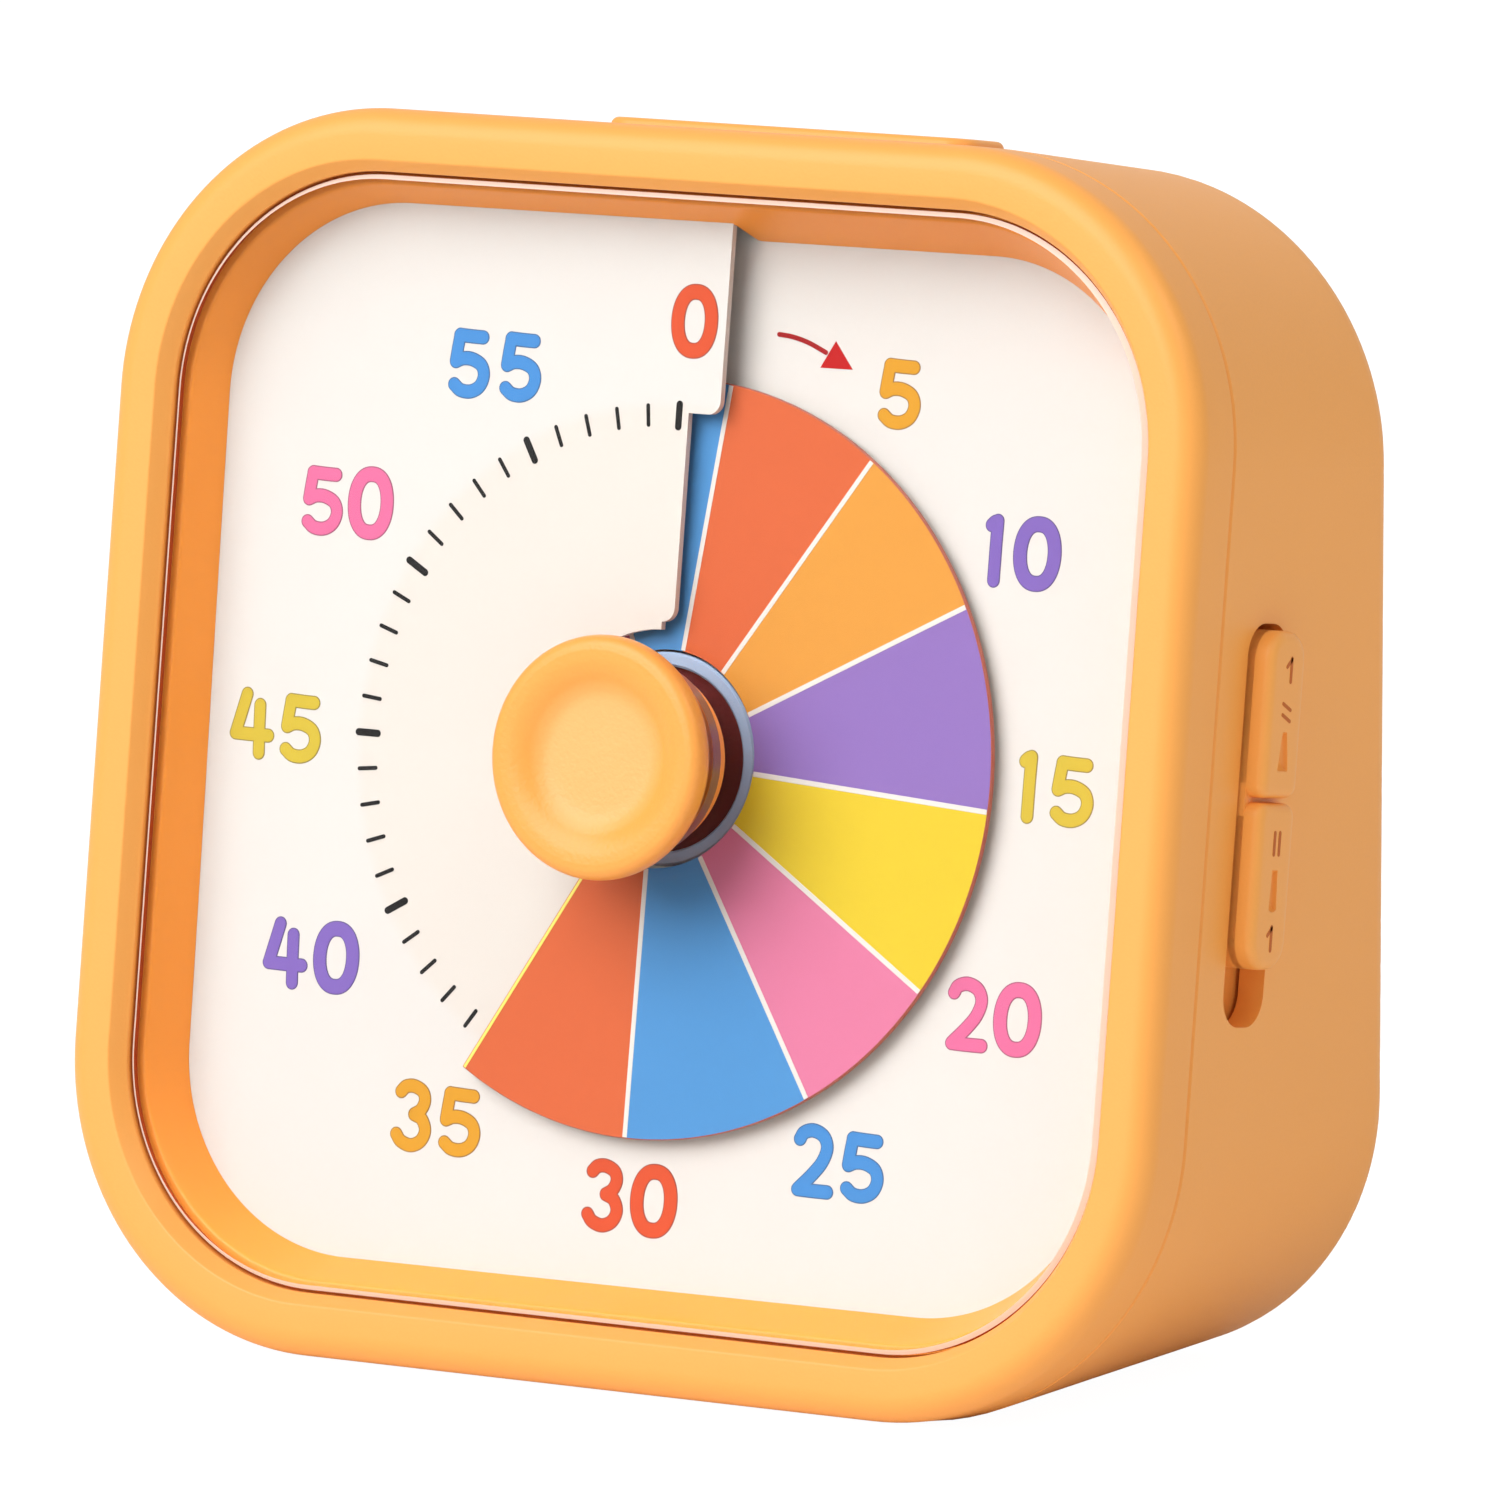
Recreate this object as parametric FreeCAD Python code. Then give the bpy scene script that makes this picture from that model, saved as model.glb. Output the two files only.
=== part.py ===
import FreeCAD, Part
import math
import os

# A visual countdown timer: a rounded square case that leans back, a printed dial that
# climbs like one turn of a screw, and a coloured disc of the same pitch that the knob
# turns out from under the dial's raised end.
#
# Face frame, used to draw: X to the right, Y back from the bezel's front plane,
# Z up along the face, origin on the dial's axis. place() leans it back into the part's
# own frame: Z up, Y to the back, origin in the middle of the flat base.

V = FreeCAD.Vector

# Case
FACE = 80.0
CORNER = 18.9
LEAN = 8.0
BASE_DROP = 40.0
MIDDLE_DEPTH = 11.3
PARTING = 5.0
GROOVE = 0.2
WALL = 1.8
REAR_DEPTH = 29.2
REAR_HALF_HEIGHT = 37.9
REAR_CENTRE = 1.95
REAR_CORNER = 17.8
EDGE_ROUND = 1.8
REAR_ROUND = 2.0

# Window
FLAT_HALF = 36.75
OPENING_HALF = 35.95
OPENING_CORNER = 14.85
BEVEL_DEPTH = 1.2
LENS_FRONT = 1.25
LENS_BACK = 2.4
LENS_HOLE = 6.3

# Dial and disc
PITCH = 2.2
DIAL_ZERO_DEPTH = 7.0
DIAL_THICK = 0.5
DIAL_HALF = 35.5
DIAL_CORNER = 14.4
DIAL_HOLE = 8.2
DISC_RADIUS = 24.2
DISC_HOLE = 6.95
DISC_THICK = 0.4
DISC_BEHIND = 1.15
REST_MINUTES = 35.2
FRAME_HALF = 37.4
FRAME_CORNER = 16.3
FRAME_LIP_HALF = 35.1
FRAME_BACK = 9.2
FRAME_SLOPE = 0.45

# Knob and spindle
KNOB_RADIUS = 7.75
KNOB_FRONT = -3.15
SKIRT_RADIUS = 5.8
SKIRT_END = 3.9
SPINDLE_RADIUS = 2.0
ARBOR_RADIUS = 1.2
RING_OUTER = 6.8
RING_INNER = 5.9

# Movement
CARRIER_FRONT = 9.2
CARRIER_BACK = 10.6
PLATE_BACK = 12.3
MOVEMENT_BACK = 22.0
MOVEMENT_FLOOR = 20.8
MODULE = 0.36
WHEEL_TEETH = 36
PINION_TEETH = 12
MESH_SLACK = 0.04

# Switch on the right side and key on the top
SLOT_FRONT = 8.5
SLOT_BACK = 13.7
SLOT_TOP = 11.6
SLOT_BOTTOM = -13.7
SLIDER_TOP = 11.2
SLIDER_BOTTOM = -10.0
SLIDER_PROUD = 1.6
SHIELD_BOTTOM = -14.2
SLIDER_TRAVEL = 3.5
SIDE_GAP = 0.3
KEY_HALF = 13.6
KEY_FRONT = 14.8
KEY_BACK = 21.2
KEY_TOP = 40.6

# Battery bay, in the part's own frame
CELL_RADIUS = 5.25
CELL_LENGTH = 43.5
BAY_HALF = 24.4
DOOR_THICK = 1.5
DOOR_HALF = 26.2
DOOR_BOTTOM = 2.4
DOOR_TOP = 16.2

# Screws
CORNER_SCREW = 29.8
SCREW_SEAT = 20.5
SCREW_TIP = 9.8

os.makedirs("parts", exist_ok=True)


def place(shape):
    """Lean a shape drawn in the face frame back and set it over the base."""
    placed = shape.copy()
    placed.rotate(V(0, 0, 0), V(1, 0, 0), -LEAN)
    placed.translate(V(0, -MIDDLE_DEPTH, BASE_DROP))
    return placed


def save(shape, node):
    """Write one node in the part's own frame, and say how it came out."""
    shape.exportStep("parts/" + node + ".step")
    print(node, "valid" if shape.isValid() else "NOT VALID", len(shape.Solids), round(shape.Volume, 2))


def rounded(half_w, half_h, radius, depth, centre_x=0.0, centre_z=0.0):
    """Closed outline of a rectangle with round corners, in a plane of one depth."""
    arcs = []
    for sx, sz, start in ((1, 1, 0), (-1, 1, 90), (-1, -1, 180), (1, -1, 270)):
        centre = V(centre_x + sx * (half_w - radius), depth, centre_z + sz * (half_h - radius))
        turns = [math.radians(start + step) for step in (0, 45, 90)]
        arcs.append([centre + V(radius * math.cos(a), 0, radius * math.sin(a)) for a in turns])
    edges = []
    for index, (first, middle, last) in enumerate(arcs):
        edges.append(Part.Arc(first, middle, last).toShape())
        following = arcs[(index + 1) % 4][0]
        if last.distanceToPoint(following) > 1e-6:
            edges.append(Part.LineSegment(last, following).toShape())
    return Part.Wire(edges)


def slab(outline, thickness):
    """Solid that carries a flat outline straight back."""
    return Part.Face(outline).extrude(V(0, thickness, 0))


def taper(front, back):
    """Solid between two outlines."""
    return Part.makeLoft([front, back], True, True)


def box(x0, x1, y0, y1, z0, z1):
    """Block between two corners."""
    return Part.makeBox(x1 - x0, y1 - y0, z1 - z0, V(x0, y0, z0))


def rod(radius, y0, y1, x=0.0, z=0.0):
    """Cylinder that runs back from one depth to another."""
    return Part.makeCylinder(radius, y1 - y0, V(x, y0, z), V(0, 1, 0))


def pipe(outer, inner, y0, y1, x=0.0, z=0.0):
    """Round tube that runs back from one depth to another."""
    return rod(outer, y0, y1, x, z).cut(rod(inner, y0 - 1, y1 + 1, x, z))


def spun(profile):
    """Solid of revolution about the dial's axis from (radius, depth) points."""
    points = [V(radius, depth, 0) for radius, depth in profile]
    points.append(points[0])
    return Part.Face(Part.makePolygon(points)).revolve(V(0, 0, 0), V(0, 1, 0), 360)


def helicoid(r_in, r_out, thick, start, end, depth_at_zero):
    """Plate that climbs towards the viewer by PITCH in each clockwise turn.

    Its front surface lies depth_at_zero deep at 0 minutes, and start and end are the
    minutes that it runs between.
    """
    turns = (end - start) / 60.0
    spine = Part.Wire(Part.makeHelix(PITCH, PITCH * turns, (r_in + r_out) / 2))
    corners = [V(r_in, 0, 0), V(r_out, 0, 0), V(r_out, 0, -thick), V(r_in, 0, -thick), V(r_in, 0, 0)]
    plate = spine.makePipeShell([Part.makePolygon(corners)], True, True)
    plate = plate.mirror(V(0, 0, 0), V(1, -1, 0))
    plate.rotate(V(0, 0, 0), V(1, 0, 0), 90)
    plate.rotate(V(0, 0, 0), V(0, 1, 0), start * 6)
    plate.translate(V(0, depth_at_zero - PITCH * start / 60.0, 0))
    return plate


def around(x, z, radius, degrees):
    """Point at a radius and an angle from a centre, in the plane of the face."""
    angle = math.radians(degrees)
    return x + radius * math.cos(angle), z + radius * math.sin(angle)


def gear(teeth, y0, y1, x, z, tooth_at):
    """Spur gear with radial flanks under the pitch line and one tooth at an angle."""
    pitch_r = MODULE * teeth / 2
    tip_r = pitch_r + 0.8 * MODULE
    root_r = pitch_r - 1.05 * MODULE
    half = 0.70 * 90.0 / teeth
    tip_half = 0.45 * half * pitch_r / tip_r
    rising = [(root_r, -half), (pitch_r, -half), (tip_r, -tip_half)]
    falling = [(tip_r, tip_half), (pitch_r, half), (root_r, half)]
    points = []
    for tooth in range(teeth):
        middle = tooth_at + 360.0 * tooth / teeth
        for radius, offset in rising + falling:
            px, pz = around(x, z, radius, middle + offset)
            points.append(V(px, y0, pz))
    points.append(points[0])
    return slab(Part.makePolygon(points), y1 - y0)


def only_edges(shape, wanted):
    """Edges whose middle passes a test."""
    return [edge for edge in shape.Edges if wanted(edge.CenterOfMass)]


def above_base(shape):
    """Cut a placed shape off flat where it stands."""
    return shape.cut(box(-60, 60, -60, 60, -20, 0))


# Bezel
def front_bezel():
    body = slab(rounded(FACE / 2, FACE / 2, CORNER, 0), PARTING)
    body = body.makeFillet(EDGE_ROUND, only_edges(body, lambda p: p.y < 0.01))
    body = body.makeChamfer(GROOVE, only_edges(body, lambda p: p.y > PARTING - 0.01))
    mouth = FLAT_HALF - OPENING_HALF
    bevel = taper(
        rounded(FLAT_HALF, FLAT_HALF, OPENING_CORNER + mouth, 0),
        rounded(OPENING_HALF, OPENING_HALF, OPENING_CORNER, BEVEL_DEPTH),
    )
    window = slab(rounded(OPENING_HALF, OPENING_HALF, OPENING_CORNER, 0), PARTING + 1)
    room = slab(rounded(37.55, 37.55, 16.45, LENS_BACK + 0.05), PARTING)
    tongue = slab(rounded(38.1, 38.1, 17.0, PARTING - 0.5), 2.0)
    return body.fuse(tongue).cut(bevel).cut(window).cut(room).removeSplitter()


def clear_lens():
    plate = slab(rounded(35.75, 35.75, 14.65, LENS_FRONT), LENS_BACK - LENS_FRONT)
    plate = plate.makeChamfer(0.3, only_edges(plate, lambda p: p.y < LENS_FRONT + 0.01))
    return plate.cut(rod(LENS_HOLE, 0, 5))


# The frame's inner wall slopes down to the dial and is cut off where the dial's
# climbing front passes, so its lip steps down beside the 0 mark.
def dial_frame():
    depth = FRAME_BACK - LENS_BACK
    inset = FRAME_SLOPE * depth
    ring = slab(rounded(FRAME_HALF, FRAME_HALF, FRAME_CORNER, LENS_BACK + 0.05), depth - 0.05)
    front_half = FRAME_LIP_HALF
    back_half = FRAME_LIP_HALF - inset
    funnel = taper(
        rounded(front_half, front_half, 14.0, LENS_BACK),
        rounded(back_half, back_half, 14.0 - inset, FRAME_BACK + 0.01),
    )
    ring = ring.cut(funnel)
    inner = slab(rounded(DIAL_HALF + 0.2, DIAL_HALF + 0.2, DIAL_CORNER + 0.2, 3), 8)
    behind_dial = helicoid(4, 52, 6.0, 0, 60, DIAL_ZERO_DEPTH - 0.05).common(inner)
    raised_end = box(-0.5, 3.3, DIAL_ZERO_DEPTH - PITCH - 0.15, 11, 20, DIAL_HALF + 0.2)
    ring = ring.cut(behind_dial).cut(raised_end)
    for sx in (-1, 1):
        for sz in (-1, 1):
            x = sx * CORNER_SCREW
            z = sz * CORNER_SCREW
            ring = ring.fuse(rod(2.8, 8.0, 14.0, x, z))
            ring = ring.cut(rod(1.3, SCREW_TIP - 0.5, 15, x, z))
    slider_room = box(35.0, 38, 7.3, 10, SHIELD_BOTTOM - SLIDER_TRAVEL - 0.3, 13)
    return ring.cut(slider_room).removeSplitter()


def dial_plate():
    sheet = helicoid(DIAL_HOLE, 52, DIAL_THICK, -0.8, 62.3, DIAL_ZERO_DEPTH)
    sheet = sheet.common(slab(rounded(DIAL_HALF, DIAL_HALF, DIAL_CORNER, 2), 8))
    outline = [
        Part.LineSegment(V(14, 3, 40), V(3.0, 3, 40)),
        Part.LineSegment(V(3.0, 3, 40), V(3.0, 3, 22.9)),
        Part.Arc(V(3.0, 3, 22.9), V(2.74, 3, 22.26), V(2.1, 3, 22.0)),
        Part.LineSegment(V(2.1, 3, 22.0), V(0.7, 3, 22.0)),
        Part.LineSegment(V(0.7, 3, 22.0), V(0.7, 3, 9.6)),
        Part.Arc(V(0.7, 3, 9.6), V(0.44, 3, 8.96), V(-0.2, 3, 8.7)),
        Part.LineSegment(V(-0.2, 3, 8.7), V(-0.2, 3, 0)),
        Part.LineSegment(V(-0.2, 3, 0), V(14, 3, 0)),
        Part.LineSegment(V(14, 3, 0), V(14, 3, 40)),
    ]
    slit = slab(Part.Wire([edge.toShape() for edge in outline]), 3.0)
    return sheet.cut(slit)


def time_disc():
    return helicoid(
        DISC_HOLE,
        DISC_RADIUS,
        DISC_THICK,
        REST_MINUTES + 0.15,
        REST_MINUTES + 60,
        DIAL_ZERO_DEPTH + DISC_BEHIND,
    )


# Knob group
def knob():
    dish = 1.05
    front = KNOB_FRONT
    face = [(0, front + dish), (1.6, front + dish), (3.2, front + 0.92 * dish), (4.6, front + 0.6 * dish)]
    face += [(5.7, front + 0.22 * dish), (6.4, front + 0.03), (6.75, front), (7.2, front + 0.1)]
    face += [(7.55, front + 0.4), (KNOB_RADIUS, front + 0.9), (7.7, front + 1.4), (7.45, front + 1.85)]
    face += [(7.0, front + 2.1), (SKIRT_RADIUS + 0.25, front + 2.2), (SKIRT_RADIUS, front + 2.45)]
    face += [(SKIRT_RADIUS, SKIRT_END - 0.15), (SKIRT_RADIUS - 0.15, SKIRT_END), (0, SKIRT_END)]
    return spun(face).cut(rod(SPINDLE_RADIUS, 0.4, 5))


def spindle():
    body = rod(SPINDLE_RADIUS, 0.4, 13.0).fuse(rod(ARBOR_RADIUS, 13.0, 21.4))
    return body.removeSplitter()


def hub_ring():
    cup = rod(RING_OUTER, 5.7, 8.5).cut(rod(RING_INNER, 5.0, 7.3))
    cup = cup.makeChamfer(0.15, only_edges(cup, lambda p: p.y < 5.71))
    return cup.cut(rod(SPINDLE_RADIUS, 5, 9))


def hub_felt():
    return pipe(RING_INNER, SPINDLE_RADIUS, 6.1, 7.3)


def drive_wheel():
    wheel = gear(WHEEL_TEETH, 13.0, 13.8, 0, 0, THIRD_ANGLE)
    return wheel.cut(rod(ARBOR_RADIUS, 12, 15))


def clutch_washer():
    return pipe(3.4, ARBOR_RADIUS, 13.8, 14.2)


def alarm_cam():
    cam = pipe(3.6, ARBOR_RADIUS, 17.6, 18.4)
    return cam.cut(box(2.6, 4, 17, 19, -1.0, 1.0))


# Wheel train: each wheel turns three times for one turn of the one before it.
CENTRES = MODULE * (WHEEL_TEETH + PINION_TEETH) / 2 + MESH_SLACK
THIRD_ANGLE = 150.0
FOURTH_ANGLE = 75.0
ROTOR_ANGLE = -10.0
THIRD = around(0, 0, CENTRES, THIRD_ANGLE)
FOURTH = around(THIRD[0], THIRD[1], CENTRES, FOURTH_ANGLE)
ROTOR = around(FOURTH[0], FOURTH[1], CENTRES, ROTOR_ANGLE)
PINION_GAP = 180.0 + 180.0 / PINION_TEETH


def train_arbor(centre):
    return rod(0.6, 11.6, 21.5, centre[0], centre[1])


def third_wheel():
    x, z = THIRD
    pinion = gear(PINION_TEETH, 12.7, 14.6, x, z, THIRD_ANGLE + PINION_GAP)
    wheel = gear(WHEEL_TEETH, 14.6, 15.4, x, z, FOURTH_ANGLE)
    return pinion.fuse(wheel).fuse(train_arbor(THIRD)).removeSplitter()


def fourth_wheel():
    x, z = FOURTH
    pinion = gear(PINION_TEETH, 14.4, 16.2, x, z, FOURTH_ANGLE + PINION_GAP)
    wheel = gear(WHEEL_TEETH, 16.2, 17.0, x, z, ROTOR_ANGLE)
    return pinion.fuse(wheel).fuse(train_arbor(FOURTH)).removeSplitter()


def rotor_pinion():
    x, z = ROTOR
    pinion = gear(PINION_TEETH, 16.0, 17.5, x, z, ROTOR_ANGLE + PINION_GAP)
    return pinion.fuse(train_arbor(ROTOR)).removeSplitter()


def rotor_magnet():
    return pipe(2.4, 0.6, 17.8, 19.8, ROTOR[0], ROTOR[1])


# Movement case
MOVEMENT = (-18.0, 19.0, -11.5, 23.0)
MOVEMENT_SCREWS = ((-15.6, -9.2), (16.6, -9.2), (-15.6, 20.7))


def movement_outline(depth, inset=0.0):
    x0, x1, z0, z1 = MOVEMENT
    half_w = (x1 - x0) / 2 - inset
    half_h = (z1 - z0) / 2 - inset
    return rounded(half_w, half_h, 2.5 - inset, depth, (x0 + x1) / 2, (z0 + z1) / 2)


def movement_plate():
    plate = slab(movement_outline(CARRIER_BACK), PLATE_BACK - CARRIER_BACK)
    plate = plate.cut(rod(SPINDLE_RADIUS + 0.06, 10, 13))
    for x, z in (THIRD, FOURTH, ROTOR):
        plate = plate.cut(rod(0.66, 11.4, 13, x, z))
    for x, z in MOVEMENT_SCREWS:
        plate = plate.cut(rod(0.95, 10, 13, x, z))
    return plate


def movement_case():
    shell = slab(movement_outline(PLATE_BACK), MOVEMENT_BACK - PLATE_BACK)
    shell = shell.cut(slab(movement_outline(PLATE_BACK - 1, 1.2), MOVEMENT_FLOOR - PLATE_BACK + 1))
    for x, z in MOVEMENT_SCREWS:
        shell = shell.fuse(rod(1.9, PLATE_BACK, MOVEMENT_FLOOR + 0.1, x, z))
    for x, z in MOVEMENT_SCREWS:
        shell = shell.cut(rod(0.95, 10, 23, x, z))
    shell = shell.cut(rod(ARBOR_RADIUS + 0.06, 20, 21.6))
    for x, z in (THIRD, FOURTH, ROTOR):
        shell = shell.cut(rod(0.66, 20, 21.7, x, z))
    return shell.removeSplitter()


def movement_screws():
    screws = []
    for x, z in MOVEMENT_SCREWS:
        head = rod(1.8, MOVEMENT_BACK, MOVEMENT_BACK + 1.1, x, z)
        head = head.cut(box(x - 1.4, x + 1.4, MOVEMENT_BACK + 0.6, 24, z - 0.2, z + 0.2))
        screws.append(head.fuse(rod(0.9, 9.9, MOVEMENT_BACK, x, z)))
    return Part.Compound(screws)


def stator_plate():
    top = box(0.2, 16.0, 18.2, 19.4, 7.6, 14.8)
    leg = box(13.0, 16.0, 18.2, 19.4, -7.1, 8.0)
    plate = top.fuse(leg).removeSplitter()
    return plate.cut(rod(2.9, 17, 21, ROTOR[0], ROTOR[1]))


def coil_bobbin():
    spool = box(12.4, 16.6, 17.6, 20.0, -7.0, 6.5)
    lower = box(11.6, 17.4, 16.4, 20.6, -7.0, -6.2)
    upper = box(11.6, 17.4, 16.4, 20.6, 5.7, 6.5)
    leg_hole = box(13.0, 16.0, 18.2, 19.4, -9, 9)
    return spool.fuse(lower).fuse(upper).cut(leg_hole).removeSplitter()


def coil_winding():
    return box(11.8, 17.2, 16.6, 20.4, -6.2, 5.7).cut(box(12.4, 16.6, 17.6, 20.0, -9, 9))


def alarm_contact():
    leaf = box(4.0, 4.3, 17.7, 18.3, -6.0, 2.0)
    arm = box(4.0, 8.5, 17.7, 18.3, -6.3, -6.0)
    foot = box(8.2, 8.5, 12.3, 18.3, -6.3, -6.0)
    return leaf.fuse(arm).fuse(foot).removeSplitter()


# Carrier for the movement and the board
BOARD_POSTS = ((24.5, -9.5), (24.5, 20.5))


def carrier_plate():
    plate = slab(rounded(35.3, 35.3, 14.2, CARRIER_FRONT), CARRIER_BACK - CARRIER_FRONT)
    for sx in (-1, 1):
        for sz in (-1, 1):
            plate = plate.cut(rod(3.1, 8, 12, sx * CORNER_SCREW, sz * CORNER_SCREW))
    plate = plate.cut(rod(SPINDLE_RADIUS + 0.4, 8, 12))
    plate = plate.cut(box(29.9, 40, 8, 12, -7.0, 8.0))
    for x, z in MOVEMENT_SCREWS:
        plate = plate.cut(rod(0.95, 9.8, 12, x, z))
    for x, z in BOARD_POSTS:
        plate = plate.fuse(rod(2.0, CARRIER_BACK, 13.4, x, z)).cut(rod(0.85, 10.2, 14, x, z))
    return plate.removeSplitter()


def circuit_board():
    board = slab(rounded(6.8, 18.5, 1.0, 13.4, 27.8, 5.5), 1.2)
    for x, z in BOARD_POSTS:
        board = board.cut(rod(0.85, 13, 15, x, z))
    return board


def board_screws():
    screws = []
    for x, z in BOARD_POSTS:
        screws.append(rod(1.6, 14.6, 15.5, x, z).fuse(rod(0.8, 10.4, 14.6, x, z)))
    return Part.Compound(screws)


def timer_chip():
    drop = rod(3.4, 14.6, 15.9, 27.5, 13.0)
    return drop.makeFillet(0.9, only_edges(drop, lambda p: p.y > 15.8))


def quartz_crystal():
    return Part.makeCylinder(1.0, 6.0, V(29.5, 15.6, -2.5), V(0, 0, 1))


def buzzer():
    return pipe(8.6, 1.0, 21.6, 24.4, -26.6, 2.0)


def buzzer_disc():
    return rod(7.6, 21.3, 21.6, -26.6, 2.0)


# Slide switch
def side_bar(half_depth, top, bottom, x0, x1, radius):
    """Bar with round corners that runs up the side wall."""
    middle_y = (SLOT_FRONT + SLOT_BACK) / 2
    bar = box(x0, x1, middle_y - half_depth, middle_y + half_depth, bottom, top)
    corners = [edge for edge in bar.Edges if abs(edge.CenterOfMass.x - (x0 + x1) / 2) < 0.01]
    return bar.makeFillet(radius, corners)


def side_slider():
    half = (SLOT_BACK - SLOT_FRONT) / 2 - SIDE_GAP
    outside = FACE / 2 + SLIDER_PROUD
    cap = side_bar(half, SLIDER_TOP, SLIDER_BOTTOM, 37.6, outside, 1.9)
    rim = [e for e in cap.Edges if e.CenterOfMass.x > outside - 0.01]
    cap = cap.makeFillet(0.45, rim)
    cap = cap.cut(box(40.35, 42, 8, 15, 0.45, 0.75))
    middle_y = (SLOT_FRONT + SLOT_BACK) / 2
    for z in (3.6, -5.0):
        dent = Part.makeSphere(2.6, V(0, 0, 0))
        stretch = FreeCAD.Matrix()
        stretch.scale(0.28, 0.42, 0.9)
        dent = dent.transformGeometry(stretch)
        dent.translate(V(outside + 0.25, middle_y, z))
        cap = cap.cut(dent)
    shield = box(36.7, 37.9, SLOT_FRONT - 0.8, SLOT_BACK + 0.8, SHIELD_BOTTOM, SLIDER_TOP + 0.8)
    return cap.fuse(shield).removeSplitter()


def switch_lever():
    return box(32.9, 36.7, 10.2, 12.0, 2.7, 4.5)


def switch_body():
    body = box(30.6, 34.6, 8.9, 13.4, -5.5, 6.5)
    return body.cut(box(32.6, 35, 9.9, 12.3, -1.4, 5.1))


# Top key and its push switch
def top_key():
    middle = (KEY_FRONT + KEY_BACK) / 2
    depth_half = (KEY_BACK - KEY_FRONT) / 2
    cap = box(-KEY_HALF, KEY_HALF, KEY_FRONT, KEY_BACK, 36.6, KEY_TOP)
    posts = [e for e in cap.Edges if abs(e.CenterOfMass.z - (36.6 + KEY_TOP) / 2) < 0.01]
    cap = cap.makeFillet(2.0, posts)
    rim = [e for e in cap.Edges if e.CenterOfMass.z > KEY_TOP - 0.01]
    cap = cap.makeFillet(0.5, rim)
    flange_half = KEY_HALF + 0.8
    flange = box(-flange_half, flange_half, middle - depth_half - 0.7, middle + depth_half, 35.6, 36.7)
    stem = box(-2.5, 2.5, middle - 2.0, middle + 2.0, 34.9, 35.7)
    return cap.fuse(flange).fuse(stem).removeSplitter()


def key_board():
    return box(-6.2, 6.2, 14.6, 20.6, 28.6, 29.8)


def push_switch():
    body = box(-3.0, 3.0, 15.0, 21.0, 29.8, 33.2)
    return body.fuse(Part.makeCylinder(1.75, 1.0, V(0, 18.0, 33.2), V(0, 0, 1))).removeSplitter()


# Housing
def tilted_outline(half_w, half_h, radius, depth):
    """Outline in the upright rear plane, which leans against the face by LEAN."""
    outline = rounded(half_w, half_h, radius, depth, 0, REAR_CENTRE)
    outline.rotate(V(0, depth, 0), V(1, 0, 0), LEAN)
    return outline


def case_solid(inset, front, back):
    """Wedge between the square face and the upright rear plane."""
    square = rounded(FACE / 2 - inset, FACE / 2 - inset, CORNER - inset, front)
    rear = tilted_outline(FACE / 2 - inset, REAR_HALF_HEIGHT - inset, REAR_CORNER - inset, back)
    return taper(square, rear)


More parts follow.
